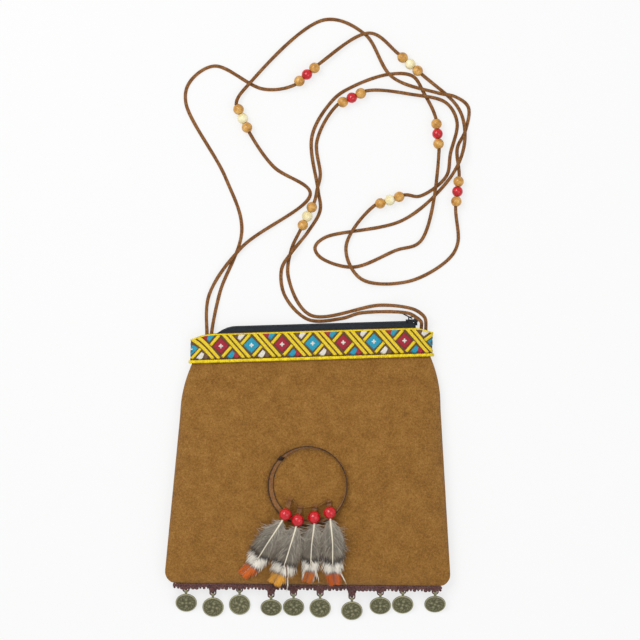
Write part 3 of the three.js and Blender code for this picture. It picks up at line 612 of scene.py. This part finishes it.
def slopeAt(v):
    return lerp(bag["baseSlope"], bag["mouthSlope"], smooth(v / cuffFrom))


def seamZ(v):
    return lerp(bag["baseSeam"], bag["mouthSeam"], smooth(v / cuffFrom))


def placeY(v, x):
    return v - bag["centre"] + slopeAt(v) * (x - centreX(v))


def halfWidth(v):
    base = lerp(bag["base"], bag["shoulder"], min(v / bag["shoulderAt"], 1)) / 2
    rise = min(max((v - bag["shoulderAt"]) / (cuffFrom - bag["shoulderAt"]), 0), 1)
    side = lerp(base, bag["mouth"] / 2, rise * rise)
    off = max(bag["corner"] - v, 0)
    return side - bag["corner"] + math.sqrt(bag["corner"] ** 2 - off ** 2)


def crownRise(v):
    below = max(1 - v / bag["crownAt"], 0)
    body = (bag["crown"] - seamZ(v)) * math.sqrt(1 - below ** 2.2)
    return lerp(body, bag["mouthFront"] - seamZ(v), toMouth(v))


def frontPoint(v, across, inset=0.0):
    inner = inset + v * (bag["height"] - inset) / bag["height"]
    power = lerp(2.6, 8, toMouth(v))
    x = centreX(inner) + across * (halfWidth(inner) - inset)
    rise = crownRise(v) - inset * min(v / 14, 1)
    z = seamZ(v) + bag["gap"] / 2 + rise * math.sqrt(max(1 - abs(across) ** power, 0))
    return np.array((x, placeY(inner, x), z))


def frontZ(x, y):
    v = y + bag["centre"]
    for _ in range(4):
        v = y + bag["centre"] - slopeAt(v) * (x - centreX(v))
    v = min(max(v, 0), bag["height"])
    return frontPoint(v, min(max((x - centreX(v)) / halfWidth(v), -1), 1))[2]


def backPoint(v, x, fromSide):
    sides = (1 - min(fromSide / bag["roll"], 1)) ** 2
    base = (1 - min(v / bag["roll"], 1)) ** 2
    flat = (ribbon["gap"] + ribbon["thick"]) * min(max((v - cuffFrom + 6) / 6, 0), 1)
    edge = seamZ(v) - bag["gap"] / 2 - bag["suede"]
    return np.array((x, placeY(v, x), lerp(edge, flat, (1 - sides) * (1 - base))))


def cornerDip(share, fromSide):
    return ribbon["dip"] * max(share, 0) * math.exp(-((fromSide / 7.5) ** 2))


# suede panels: puckered at the seams, slack in the middle
panel = {"rows": 74, "cols": 91, "pucker": 0.75, "reach": 7.0, "slack": 0.5}


def ruffle(x, y, v, fromSide):
    edge = min(fromSide, v)
    along = v if fromSide < v else x
    pucker = noise.noise(Vector((along / 6.5, 1.7 if x > 0 else 4.2, 0)))
    pucker += 0.5 * noise.noise(Vector((along / 2.9, 8.1, x * 0.01)))
    clear = smooth((math.hypot(x, (y + 45) * 0.8) - 38) / 30)  # the hoop and feathers lie on a smooth part
    slack = noise.noise(Vector((x / 42, y / 30, 0.4))) * smooth(edge / 18) * clear
    fade = 1 - smooth((v - cuffFrom + 14) / 12)
    gather = panel["pucker"] * pucker * math.exp(-edge / panel["reach"]) * smooth(edge / 1.5)
    return (gather + panel["slack"] * slack) * fade


def makePanels():
    heights = np.concatenate([np.linspace(0, 12, 11)[:-1], np.linspace(12, cuffFrom, panel["rows"] - 16),
                              np.linspace(cuffFrom + 4, bag["height"], 6)])
    shares = np.sin(np.linspace(-1, 1, panel["cols"]) * math.pi / 2)
    grids = []
    for inset in (0.0, bag["suede"]):
        grid = []
        for v in heights:
            row = []
            for a in shares:
                p = frontPoint(v, a, inset)
                p[1] -= cornerDip((v - ribbonFrom) / ribbon["height"], (1 - abs(a)) * halfWidth(v))
                p[2] += ruffle(p[0], p[1], v, (1 - abs(a)) * halfWidth(v))
                row.append(p)
            grid.append(row)
        grids.append(grid)
    front = makePiece("frontPanel", *sheetShape(*grids), suede)
    settle(front, "bag", "suede", "front_panel")
    grids = []
    for thick in (bag["suede"], 0.0):
        grid = []
        for v in heights:
            half = halfWidth(v)
            row = []
            for a in shares:
                edge = (1 - abs(a)) * half
                p = backPoint(v, centreX(v) + a * half, edge)
                p[1] -= cornerDip((v - ribbonFrom) / ribbon["height"], edge)
                p[2] += thick + 0.35 * max(ruffle(p[0], p[1], v, edge), 0) * math.exp(-min(edge, v) / 6)
                row.append(p)
            grid.append(row)
        grids.append(grid)
    back = makePiece("backPanel", *sheetShape(*grids), suede)
    settle(back, "bag", "suede", "back_panel")


makePanels()
print("panels sewn")


# ribbon: woven band round the mouth, patches raised on it
def loopAt(v):
    shares = np.sin(np.linspace(-1, 1, 161) * math.pi / 2)
    half = halfWidth(v)
    front = [frontPoint(v, a) for a in shares]
    back = [backPoint(v, centreX(v) + a * half, (1 - abs(a)) * half) for a in shares[::-1]]
    return np.array(front + back)


def outward(loop):
    step = np.roll(loop, -1, 0) - np.roll(loop, 1, 0)
    normal = np.stack([-step[:, 2], np.zeros(len(loop)), step[:, 0]], 1)
    return normal / np.maximum(np.linalg.norm(normal, axis=1, keepdims=True), 1e-9)


loops = [loopAt(ribbonFrom), loopAt(bag["height"] - 0.4)]
loopOut = [outward(loop) for loop in loops]
closedLoop = np.vstack([loops[0], loops[0][:1]])
loopRun = np.concatenate([[0], np.cumsum(np.linalg.norm(np.diff(closedLoop[:, [0, 2]], axis=0), axis=1))])
loopLength = loopRun[-1]
zeroRun = np.interp(ribbon["middleAt"], loops[0][:161, 0], loopRun[:161])


def onRibbon(u, h, out):
    run = (zeroRun + u) % loopLength
    spots = []
    for loop, normal in zip(loops, loopOut):
        ring, side = np.vstack([loop, loop[:1]]), np.vstack([normal, normal[:1]])
        spots.append([np.interp(run, loopRun, ring[:, k]) + out * np.interp(run, loopRun, side[:, k])
                      for k in range(3)])
    share = h / (ribbon["height"] - 0.4)
    spot = np.array(spots[0]) * (1 - share) + np.array(spots[1]) * share
    ends = min(abs(run - k * loopLength / 2) for k in (0, 1, 2))  # the corners of the mouth dip
    spot[1] -= cornerDip(share, ends)
    spot[2] = max(spot[2], ribbon["clear"])
    return spot


def patch(heap, slot, u, h, along, halfLong, halfWide, rise=0.34, rounding=0.6):
    top = ribbon["gap"] + ribbon["thick"]
    turn = math.radians(along)
    d, s = np.array((math.cos(turn), math.sin(turn))), np.array((-math.sin(turn), math.cos(turn)))
    longSteps = max(int(halfLong * 2 / 1.3), 2)
    rows, uvs = [], []
    limit = ribbon["height"] - 1.2
    for i in range(longSteps + 1):
        ring = []
        t = -halfLong + 2 * halfLong * i / longSteps
        end = 1 - 0.5 * (i in (0, longSteps))
        for w, lift in ((-1, 0.0), (-1, 0.6), (-rounding, 1.0), (0, 1.12), (rounding, 1.0), (1, 0.6), (1, 0.0)):
            q = d * t + s * w * halfWide
            hh = min(max(h + q[1], 1.3), limit)
            ring.append(onRibbon(u + q[0], hh, top + 0.02 + rise * lift * end))
            uvs.append((t, w * halfWide))
        rows.append(np.array(ring))
    verts, faces = sweepShape(rows)
    heap.put(verts, faces, slot, uvs)


def makeRibbon():
    heap = Heap()
    steps = 360
    run = np.linspace(0, loopLength, steps, endpoint=False)
    rows = {}
    for name, out in (("outer", ribbon["gap"] + ribbon["thick"]), ("inner", ribbon["gap"])):
        rows[name] = [[onRibbon(u, h, out) for u in run] for h in np.linspace(0, ribbon["height"] - 0.4, 7)]
    verts, faces = sheetShape(rows["outer"], rows["inner"], True)
    heap.put(verts, faces, 0)
    yellow, red, blue, white, brown = 1, 2, 3, 4, 5
    middle, lean = ribbon["middle"], ribbon["lean"]
    count = int(loopLength // ribbon["pitch"])
    for k in range(count):
        index = k - count // 2 + 1
        u = index * ribbon["pitch"]
        main, isBlue = (blue, True) if index % 2 == 0 else (red, False)
        patch(heap, main, u, middle, 45, 4.3, 4.3, 0.3, 0.85)
        for turn in (0, 90):
            patch(heap, white, u, middle, turn, 2.0, 0.66, 0.5)
        for off in (-1.75, 1.75):
            patch(heap, yellow, u + ribbon["pitch"] / 2 + off * 1.25, middle, -lean, 12.6, 1.16, 0.5)
        for sign in (-1, 1):
            patch(heap, yellow, u + sign * 4.5, middle - sign * 4.5, lean, 4.9, 1.12, 0.42)
            first, second = (white, brown) if isBlue else (blue, red)
            patch(heap, first, u + sign * 8.0, middle - sign * 7.1, lean, 3.0, 1.9, 0.28)
            patch(heap, second, u + sign * 11.6, middle - sign * 7.6, -lean, 2.6, 1.8, 0.26)
    band = heap.piece("ribbonWeave", [ribbonGround, yellowSatin, redSatin, blueSatin, whiteSatin, brownSatin])
    top = ribbon["gap"] + ribbon["thick"]
    low = [onRibbon(u, -0.3, top + 0.75) for u in np.linspace(0, loopLength, 300, endpoint=False)]
    for spot in low:  # on the underside the cord is pressed into the table
        spot[2] = max(spot[2], 0.9)
    high = [onRibbon(u, ribbon["height"] - 0.95, top + 0.2) for u in np.linspace(0, loopLength, 300, endpoint=False)]
    twist = repeated("ribbonCord", low, roundBlob(0.95, 0.85, 1.75), 1.55, 0.62, 0.06, 3, yellowThread, True)
    edging = repeated("ribbonEdge", high, roundBlob(0.5, 0.4, 0.95), 1.0, 0.4, 0.08, 5, yellowThread, True)
    tail = smoothCurve([onRibbon(92.5, 1.4, 2.0), onRibbon(94.5, 0.6, 2.6), onRibbon(95.2, -1.2, 2.4)], 3)
    loose = makePiece("ribbonTail", *tubeShape(tail, 0.45), yellowThread)
    band = joinPieces("ribbonBand", [band, twist, edging, loose])
    settle(band, "bag", "ribbon", "ribbon_band")


makeRibbon()
print("ribbon sewn on")


# zip: woven tapes and black slider from the frame, teeth in two rows
zipper = {"left": -72.0, "right": 76.0, "apart": 1.7, "pitch": 1.8, "tapeRight": 78.0, "bendAt": -57.0, "drop": 5.2}


def onMouth(x, y, z):
    turn = math.atan(bag["mouthSlope"])
    return np.array((centreX(bag["height"]) + x * math.cos(turn) - y * math.sin(turn),
                     bag["height"] - bag["centre"] + x * math.sin(turn) + y * math.cos(turn), bag["mouthSeam"] + z))


def endDrop(x):  # the left end of the zip bends down into the mouth
    return zipper["drop"] * (max(zipper["bendAt"] - x, 0) / 14) ** 2


tapeOutline = ((-8.8, -0.3), (-4, -0.3), (0, -0.3), (3.4, -0.3), (3.6, 0),
               (3.4, 0.3), (0, 0.3), (-4, 0.3), (-8.8, 0.3), (-9, 0))


def makeTape(name, side):
    sections = []
    for x in np.linspace(zipper["left"], zipper["tapeRight"], 90):
        ring = []
        for y, z in tapeOutline:
            ring.append(onMouth(x, min(y, y * 0.05 + 3.4 - endDrop(x)), side * zipper["apart"] + z))
        sections.append(np.array(ring))
    tape = makePiece("zipTape" + name, *sweepShape(sections), zipCloth)
    settle(tape, "bag", "zip_tape", "zip_tape_" + name.lower())


def makeZip():
    for name, side in (("Front", 1), ("Back", -1)):
        start = zipper["left"] + 1.5 + (0.2 if side > 0 else 0.2 + zipper["pitch"] / 2)
        line = [onMouth(x, 4.3 - endDrop(x), side * 0.45) for x in np.linspace(start, zipper["right"], 60)]
        tooth = roundBlob(0.62, 0.95, 0.52, 6, 8)
        teeth = repeated("zipTeeth" + name, line, tooth, zipper["pitch"], 0.0, 0.0, 1, zipNylon)
        along = np.linspace(zipper["left"] + 1.5, zipper["right"], 40)
        spine = [onMouth(x, 4.15 - endDrop(x), side * 1.4) for x in along]
        cord = makePiece("zipSpine" + name, *tubeShape(spine, 0.98, 8, 0.42), zipNylon)
        row = joinPieces("zipChain" + name, [teeth, cord])
        settle(row, "bag", "zip_coil", "zip_chain_" + name.lower())
        makeTape(name, side)
    for node in ("zip_slider", "zip_pull"):
        dress(node, blackMetal)


def dress(node, finish):
    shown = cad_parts[node]
    shown.data.materials.clear()
    shown.data.materials.append(finish)


makeZip()
print("zip set in")


# crocheted trim and coins
trim = {"height": 2.6, "lift": 8.5, "thread": 0.55}
coins = [(-90.9, -99.4, 30), (-70.8, -102.1, 22), (-50.9, -99.9, 14), (-27.2, -103.6, 36), (-10.4, -102.6, 30),
         (9.5, -102.8, 22), (33.3, -105.1, 26), (54.6, -101.9, 33), (71.4, -100.8, 30), (95.6, -101.0, 36)]
coinSize = {"radius": 8.0, "thick": 0.9, "rim": 0.15, "hang": 10.5, "lug": 1.5, "bore": 0.95, "lugWidth": 2.2}


def trimY(x):
    half = halfWidth(0) - centreX(0)
    past = max(abs(x) - half, 0)
    bend = bag["corner"] - math.sqrt(max(bag["corner"] ** 2 - past ** 2, 0))
    return bag["baseSlope"] * x - bag["centre"] + bend - 0.5 - trim["height"] / 2


def coinLift(tilt):
    a = math.radians(tilt)
    reach, half = coinSize["hang"] + coinSize["radius"], coinSize["thick"] / 2 + coinSize["rim"]
    return reach * math.sin(a) + half * math.cos(a) + 0.05


def makeTrim():
    reach = halfWidth(0) + bag["corner"] * 0.2
    xs = np.linspace(-reach, reach, 160)
    base = np.array([(x, trimY(x), trim["lift"]) for x in xs])
    rows = [repeated("braidUpper", base + (0, 1.25, 0.5), roundBlob(0.85, 0.75, 1.4), 1.9, 0.55, 0.12, 2, mauveThread),
            repeated("braidLower", base + (0, 0.2, 0.35), roundBlob(0.85, 0.75, 1.4), 1.9, -0.55, 0.12, 4, mauveThread),
            repeated("braidBack", base + (0, 0.4, -0.5), roundBlob(1.0, 0.7, 1.4), 2.0, 0.3, 0.1, 6, mauveThread)]
    rows.append(repeated("picots", base + (0, -1.15, 0.1), roundBlob(1.05, 1.1, 1.15), 2.75, 0.2, 0.45, 8, mauveThread))
    heap = Heap()
    knot = roundBlob(0.8, 0.8, 0.95)
    for x, y, tilt in coins:
        z = coinLift(tilt)
        apart = coinSize["lugWidth"] / 2 + trim["thread"] + 0.4
        top = trimY(x)
        leg = [[(x + s * (apart + 0.2), top, trim["lift"]),
                (x + s * (apart + 0.1), (top + y) / 2, (trim["lift"] + z) / 2 + 0.3),
                (x + s * apart, y + 0.7, z), (x + s * (apart - 0.6), y, z)] for s in (-1, 1)]
        heap.put(*tubeShape(smoothCurve(leg[0] + leg[1][::-1], 2), trim["thread"], 7))
        for i in range(46):  # rosette of knots that narrows to the loop
            down = (i * 0.7549) % 1.0
            wide = lerp(5.0, 1.6, down ** 0.7) * (2 * ((i * 0.5698) % 1.0) - 1)
            spotY = lerp(top + 0.2, y + 1.9, down) + 0.3 * math.sin(9 * i)
            high = lerp(trim["lift"] + 0.7, z + 0.9, down)
            spot = (x + wide, spotY, high + 0.4 * math.sin(5 * i))
            axis = unit(np.array((math.cos(1.3 * i), math.sin(1.3 * i), 0.3 * math.cos(2.0 * i))))
            heap.put(turned(knot[0] * (0.85 + 0.2 * math.sin(7 * i)), axis, spot), knot[1])
    rows.append(heap.piece("coinLoops", [mauveThread]))
    whole = joinPieces("crochetTrim", rows)
    settle(whole, "bag", "crochet", "crochet_trim")


def coinRelief(r, a, seed):  # height over the coin's face, generic rosette
    edge = coinSize["radius"]
    rim = smooth((r - edge + 1.0) / 0.25) - smooth((r - edge + 0.2) / 0.25)
    beads = max(math.cos(a * 24), 0) * math.exp(-((r - 6.45) / 0.28) ** 2)
    line = 0.5 * math.exp(-((r - 5.75) / 0.14) ** 2)
    vein = 1 - 0.55 * math.exp(-(math.sin(a * 4 + seed) / 0.22) ** 2)
    petal = max(math.cos(a * 4 + seed), 0) ** 0.6 * math.exp(-((r - 2.9) / 1.1) ** 2) * vein
    leaf = 0.8 * max(math.cos(a * 12 + 3 * r + seed), 0) * math.exp(-((r - 4.9) / 0.55) ** 2)
    boss = math.exp(-(r / 0.8) ** 2)
    return 0.9 * rim + 0.7 * beads + line + 0.9 * petal + leaf + 0.9 * boss


def coinShape(seed):
    rings, around = 30, 96
    edge, half = coinSize["radius"], coinSize["thick"] / 2
    verts, marks = [], []
    for face in (1, -1):
        for i in range(rings + 1):
            r = edge * i / rings
            for j in range(around if i else 1):
                a = 2 * math.pi * j / around
                h = coinRelief(r, a, seed)
                fall = 0.25 * smooth((r - edge + 0.35) / 0.35)
                verts.append((r * math.cos(a), r * math.sin(a), face * (half + coinSize["rim"] * min(h, 1.3) - fall)))
                marks.append(min(h, 1.0))
    size = 1 + rings * around
    faces = []
    for f in (0, 1):
        o = f * size
        cells = [(o, o + 1 + j, o + 1 + (j + 1) % around) for j in range(around)]
        for i in range(rings - 1):
            a, b = o + 1 + i * around, o + 1 + (i + 1) * around
            cells += [(a + j, b + j, b + (j + 1) % around, a + (j + 1) % around) for j in range(around)]
        faces += cells if f == 0 else [tuple(reversed(c)) for c in cells]
    a, b = 1 + (rings - 1) * around, size + 1 + (rings - 1) * around
    faces += [(a + j, b + j, b + (j + 1) % around, a + (j + 1) % around) for j in range(around)]
    verts = np.array(verts)
    verts[:, 1] -= coinSize["hang"]
    return verts, faces, marks


def makeCoins():
    lugEnd = coinSize["lugWidth"] / 2
    bore, rim = coinSize["bore"], coinSize["lug"]
    lugProfile = [(bore, -lugEnd), (1.1, -lugEnd - 0.02), (1.38, -lugEnd + 0.1), (rim, -lugEnd + 0.3),
                  (rim, lugEnd - 0.3), (1.38, lugEnd - 0.1), (1.1, lugEnd + 0.02), (bore, lugEnd)]
    lug = latheShape(lugProfile, 20)
    neck = tubeShape([(0, -1.15, 0), (0, -1.7, 0), (0, -2.4, 0), (0, -3.2, 0)], [0.8, 0.75, 0.85, 1.2], 8, 0.42)
    for i, (x, y, tilt) in enumerate(coins):
        heap = Heap()
        verts, faces, marks = coinShape(0.9 * i)
        heap.put(verts, faces, 0, None, np.repeat(np.array(marks)[:, None], 3, 1))
        heap.put(turned(lug[0], (1, 0, 0), (0, 0, 0)), lug[1], 0, None, np.full((len(lug[0]), 3), 0.45))
        heap.put(*neck, 0, None, np.full((len(neck[0]), 3), 0.4))
        tip = math.radians(tilt)
        spin = np.array(Matrix.Rotation(tip, 3, "X"))
        heap.verts = [v @ spin.T + (x, y, coinLift(tilt)) for v in heap.verts]
        piece = heap.piece(f"coin{i + 1}", [bronze])
        layer = piece.data.attributes.new("relief", "FLOAT", "POINT")
        layer.data.foreach_set("value", np.vstack(heap.marks)[:, 0].astype(np.float32))
        settle(piece, f"coin_{i + 1}_body", "coin", f"coin_{i + 1}")


makeTrim()
makeCoins()
print("trim and coins hung")


# hoop of suede band with a dark cut edge, painted contact shade on its foot and lower walls, and a bound join
hoop = {"foot": (2.0, -19.1, 26.9), "edge": (0.0, -20.1, 29.9), "height": 3.2, "thick": 0.9, "join": 135.0}


def hoopFrame(turn):
    out = np.array((math.cos(turn), math.sin(turn), 0))
    (footX, footY, footReach), (edgeX, edgeY, edgeReach) = hoop["foot"], hoop["edge"]
    foot = np.array((footX, footY, 0)) + out * footReach
    edge = np.array((edgeX, edgeY, hoop["height"])) + out * (edgeReach - hoop["thick"])
    return foot, edge, out * hoop["thick"]


def makeHoop():
    turns = 2 * math.pi * np.arange(180) / 180
    stand = max(frontZ(*hoopFrame(t)[0][:2]) for t in turns) + bag["gap"]
    # third number 1 gives a face the dark finish: along the top it is the real cut edge, while on the foot and the
    # lowest part of each wall it is painted contact shade where the band meets the bag
    ring = ((0.0, 0.06, 1.0), (0.5, 0.0, 1.0), (1.0, 0.06, 1.0), (1.04, 0.3, 1.0), (1.0, 0.7, 0.0),
            (1.0, 0.9, 1.0), (0.85, 1.0, 1.0), (0.15, 1.0, 1.0), (0.0, 0.9, 1.0), (-0.04, 0.6, 0.0), (0.0, 0.22, 1.0))
    sections = []
    for t in turns:
        foot, edge, out = hoopFrame(t)
        wobble = 1 + 0.05 * noise.noise(Vector((math.cos(t) * 4, math.sin(t) * 4, 2)))
        sections.append(np.array([lerp(foot, edge, up) + out * o * wobble + (0, 0, stand) for o, up, _ in ring]))
    verts, faces = sweepShape(sections, True)
    slots = [1 if ring[j][2] and ring[(j + 1) % len(ring)][2] else 0 for _ in turns for j in range(len(ring))]
    heap = Heap()
    heap.put(verts, [tuple(reversed(f)) for f in faces])
    heap.slots = slots
    for k in range(6):  # turns of waxed thread over the join
        t = math.radians(hoop["join"] - 3.0 + 1.2 * k)
        foot, edge, out = hoopFrame(t)
        corner = [(-0.3, 0.3), (0.5, 0.22), (1.3, 0.3), (1.35, 0.6),
                  (1.3, 0.95), (0.5, 1.1), (-0.3, 0.98), (-0.35, 0.6)]
        loop = np.array([lerp(foot, edge, up) + out * o + (0, 0, stand + 0.1) for o, up in corner])
        heap.put(*loopTube(loop, 0.27, np.array((-math.sin(t), math.cos(t), 0))), 2)
    hoopSuede = suedeFinish("hoopSuede", "6a4426", "8f6238", "ab7f50", 1500.0)
    waxed = threadFinish("waxedThread", "3a2620", "1a100c", 0.16)
    piece = heap.piece("hoopBand", [hoopSuede, edgeAndFootShade, waxed])
    settle(piece, "bag", "lace", "hoop_band")


def loopTube(loop, radius, side, sides=7):
    middle = loop.mean(0)
    sections = []
    for p in loop:
        out = unit(p - middle)
        turn = 2 * math.pi * np.arange(sides) / sides
        sections.append(p + radius * (np.outer(np.cos(turn), out) + np.outer(np.sin(turn), side)))
    return sweepShape(sections, True)


makeHoop()
print("hoop bound")


# feather pendants
pendants = [
    {"eye": (-12.9, -29.9), "bead": (-16.3, -41.1), "lift": 8.0, "layer": 0, "half": 12.5,
     "route": [(-19.5, -47.2), (-28.5, -61), (-38.6, -76.5), (-50, -88)], "tip": "d06206", "lobe": 0.42, "wisps": 0},
    {"eye": (-5.4, -35.9), "bead": (-7.3, -45.4), "lift": 8.2, "layer": 1, "half": 13.5,
     "route": [(-8.8, -51.8), (-12.4, -63.8), (-18.4, -81.8), (-25, -92.5)], "tip": "e3a030", "lobe": 0.7, "wisps": 9},
    {"eye": (5.7, -35.4), "bead": (5, -43.3), "lift": 5.6, "layer": 0, "half": 11.0,
     "route": [(5.1, -49.6), (3.2, -64.5), (1.9, -81.8), (-0.8, -91.5)], "tip": "c4660a", "lobe": 0.3, "wisps": 2},
    {"eye": (15.9, -31.7), "bead": (16.7, -39.7), "lift": 7.1, "layer": 1, "half": 12.0,
     "route": [(17.2, -46), (18.7, -61.5), (19, -80.2), (20.6, -93)], "tip": "cc5c04", "lobe": 0.5, "wisps": 3}]
featherSize = {"bead": 4.6, "bore": 1.5, "quill": 0.62, "barbs": 150, "down": 260, "over": 1.1,
               "layerStep": 2.5, "layerLift": 2.1, "bare": 0.1}


def beadAt(p):
    return np.array((*p["bead"], frontZ(*p["bead"]) + p["lift"]))


def spineOf(p):
    start = beadAt(p)
    away = unit(np.array((p["route"][0][0] - p["bead"][0], p["route"][0][1] - p["bead"][1], 0)))
    flat = smoothCurve([(x, y, 0) for x, y in p["route"]], 1.0)
    over = featherSize["over"] + p["layer"] * featherSize["layerStep"]
    lie = []
    for i in range(3, len(flat), 3):
        t = i / (len(flat) - 1)
        ground = max(frontZ(flat[i][0] + s, flat[i][1]) for s in (-6, 0, 6))
        lie.append((flat[i][0], flat[i][1], max(ground + over, lerp(start[2], ground + over, min(t * 2.2, 1)))))
    points = [start + away * featherSize["bead"] * 0.25, start + away * (featherSize["bead"] + 0.8)]
    return smoothCurve(points + [np.array(q) for q in lie], 1.2)


def plumeColour(q, out, p, chance):  # q from the first barbs to the tip, out from the shaft to the edge
    fluff, grey, dark = (np.array(linear(c)[:3]) for c in ("a2988a", "7d7364", "3b322b"))
    white, tip = np.array(linear("f3ecdf")[:3]), np.array(linear(p["tip"])[:3])
    bent = q + 0.1 * out + 0.03 * (chance - 0.5)
    colour = lerp(fluff, grey, smooth(q / 0.5)) * (0.62 + 0.7 * chance)
    colour = lerp(colour, dark, smooth((bent - 0.6) / 0.04))
    colour = lerp(colour, white * (0.88 + 0.15 * chance), smooth((bent - 0.69) / 0.025))
    lobe = 1 - smooth((out - p["lobe"]) / 0.1)
    colour = lerp(colour, dark, lobe * smooth((q - 0.8) / 0.015) * 0.85)
    colour = lerp(colour, tip * (0.8 + 0.35 * chance), lobe * smooth((q - 0.825) / 0.015))
    return np.clip(colour, 0, 1)


# places along the vane, and its width there as a share of the widest
vaneShape = ((0, 0.08, 0.2, 0.38, 0.5, 0.6, 0.7, 0.85, 0.95, 1.0),
             (0.5, 0.92, 1.0, 0.96, 0.84, 0.7, 0.6, 0.46, 0.32, 0.12))


def barbShape(root, ahead, side, length, angle, bend, width, lift, floorLift):
    points = []
    for s in np.linspace(0, 1, 6):
        turn = angle * (1 - bend * s)
        step = ahead * math.cos(turn) + side * math.sin(turn)
        spot = root + step * length * s
        spot[2] = max(root[2] + lift * s * s - 0.6 * s, frontZ(spot[0], spot[1]) + floorLift)
        points.append(spot)
    points = np.array(points)
    taper = width * np.array((0.8, 1.0, 0.95, 0.8, 0.55, 0.15))
    return tubeShape(points, taper, 4, 0.16)


def makePendant(number, p):
    body = f"pendant_{number}"
    ball = strapBeadShape(featherSize["bead"], featherSize["bead"] * 1.92, featherSize["bore"])
    away = unit(np.array((p["bead"][0] - p["eye"][0], p["bead"][1] - p["eye"][1], 0)))
    bead = makePiece(f"featherBead{number}", turned(ball[0], away, beadAt(p)), ball[1], redLacquer)
    settle(bead, body, "red_bead", f"feather_bead_{number}")
    dress(f"feather_loop_{number}", laceSuede)
    spine = spineOf(p)
    count = len(spine)
    ahead = tangents(spine)
    heap = Heap()
    quill = featherSize["quill"] * np.interp(np.linspace(0, 1, count), (0, 0.6, 0.76, 1), (1.15, 0.75, 0.2, 0.12))
    cream = np.array(linear("efe6cf")[:3])
    verts, faces = tubeShape(spine, quill, 8)
    heap.put(verts, faces, 0, None, np.tile(cream, (len(verts), 1)))
    begin = featherSize["bare"]
    vaneLength = np.linalg.norm(np.diff(spine, axis=0), axis=1).sum() * (1 - begin)
    for k in range(featherSize["barbs"]):
        t = lerp(begin, 0.985, k / (featherSize["barbs"] - 1))
        i = min(int(t * (count - 1)), count - 2)
        root = lerp(spine[i], spine[i + 1], t * (count - 1) - i)
        for sign in (-1, 1):
            chance, other = rng.random(2)
            s = (t - begin) / (1 - begin)
            wide = p["half"] * np.interp(s, *vaneShape)
            angle = math.radians(lerp(64, 30, s)) * (1 + 0.14 * (chance - 0.5))
            room = ((1 - s) * vaneLength + 1.2) / math.cos(angle * 0.75)
            length = min(wide / math.sin(angle) * (0.86 + 0.28 * other), room)
            side = unit(np.cross((0, 0, 1), ahead[i])) * sign
            verts, faces = barbShape(root, ahead[i], side, length, angle, 0.22 + 0.25 * chance, lerp(0.32, 0.46, s),
                                     1.6 * (chance - 0.35), 0.5 + featherSize["layerLift"] * p["layer"])
            onward, out = (verts - root) @ ahead[i] / vaneLength, np.abs((verts - root) @ side) / p["half"]
            tints = np.array([plumeColour(s + q, o, p, chance) for q, o in zip(onward, out)])
            heap.put(verts, faces, 0, None, tints)
    for k in range(p["wisps"]):  # long loose barbs beside the tip
        chance, other = rng.random(2)
        i = int(lerp(0.66, 0.8, chance) * (count - 1))
        side = unit(np.cross((0, 0, 1), ahead[i]))
        angle = math.radians(lerp(30, 72, chance))
        verts, faces = barbShape(spine[i], ahead[i], side, lerp(13, 19, other), angle, 0.4, 0.42, 1.0,
                                 0.7 + featherSize["layerLift"] * p["layer"])
        tone = np.array(linear("6b4a34" if k % 4 == 3 else "f1e8d8")[:3])
        heap.put(verts, faces, 0, None, np.tile(tone, (len(verts), 1)))
    for k in range(featherSize["down"]):  # loose down round the quill
        t = lerp(0.09, 0.52, rng.random())
        i = int(t * (count - 1))
        chance, other, sway = rng.random(3)
        side = unit(np.cross((0, 0, 1), ahead[i])) * (1 if k % 2 else -1)
        length, angle = lerp(6, 14, chance) * min(t / 0.2, 1), math.radians(lerp(42, 88, other))
        verts, faces = barbShape(spine[i], ahead[i], side, length, angle, lerp(-0.2, 0.6, sway), 0.2,
                                 lerp(0.5, 2.6, other), 0.6 + featherSize["layerLift"] * p["layer"])
        tone = np.array(linear("b3aa9b")[:3]) * lerp(0.45, 1.2, chance)
        heap.put(verts, faces, 0, None, np.tile(tone, (len(verts), 1)))
    vane = heap.piece(f"feather{number}", [plume])
    layer = vane.data.attributes.new("plumeColour", "FLOAT_COLOR", "POINT")
    tints = np.vstack(heap.marks)
    layer.data.foreach_set("color", np.hstack([tints, np.ones((len(tints), 1))]).astype(np.float32).ravel())
    settle(vane, body, "feather", f"feather_{number}")


for number, pendant in enumerate(pendants, 1):
    makePendant(number, pendant)
dress("hang_thread", suede)
print("feathers hung")


# floor and surroundings
def makeFloor():
    f = Finish("paleFloor")
    seen = f.add("LightPath", None, None, "Is Camera Ray")
    base = f.add("BsdfDiffuse", None, {"Color": (0.8, 0.8, 0.8, 1)})
    glow = f.add("Emission", None, {"Color": (1, 1, 1, 1), "Strength": 1.0})
    pale = f.add("MixShader", None, {0: seen * 0.72, 1: base, 2: glow})
    f.add("OutputMaterial", None, {"Surface": pale})
    reach, under = studio["floor"], -0.05
    corners = [(x * reach, y * reach, under) for x, y in ((-1, -1), (1, -1), (1, 1), (-1, 1))]
    floor = makePiece("studioFloor", corners, [(0, 1, 2, 3)], f.material)


def makeWorld():
    world = bpy.data.worlds.new("studioAir")
    bpy.context.scene.world = world
    f = Finish("", world)
    path = f.add("LightPath", None, None, "Is Camera Ray")
    dim = f.add("Background", None, {"Color": (1, 1, 1, 1), "Strength": studio["ambient"]})
    bright = f.add("Background", None, {"Color": (1, 1, 1, 1), "Strength": 1.0})
    air = f.add("MixShader", None, {0: path, 1: dim, 2: bright})
    f.add("OutputWorld", None, {"Surface": air})


makeFloor()
makeWorld()
print("studio ready")
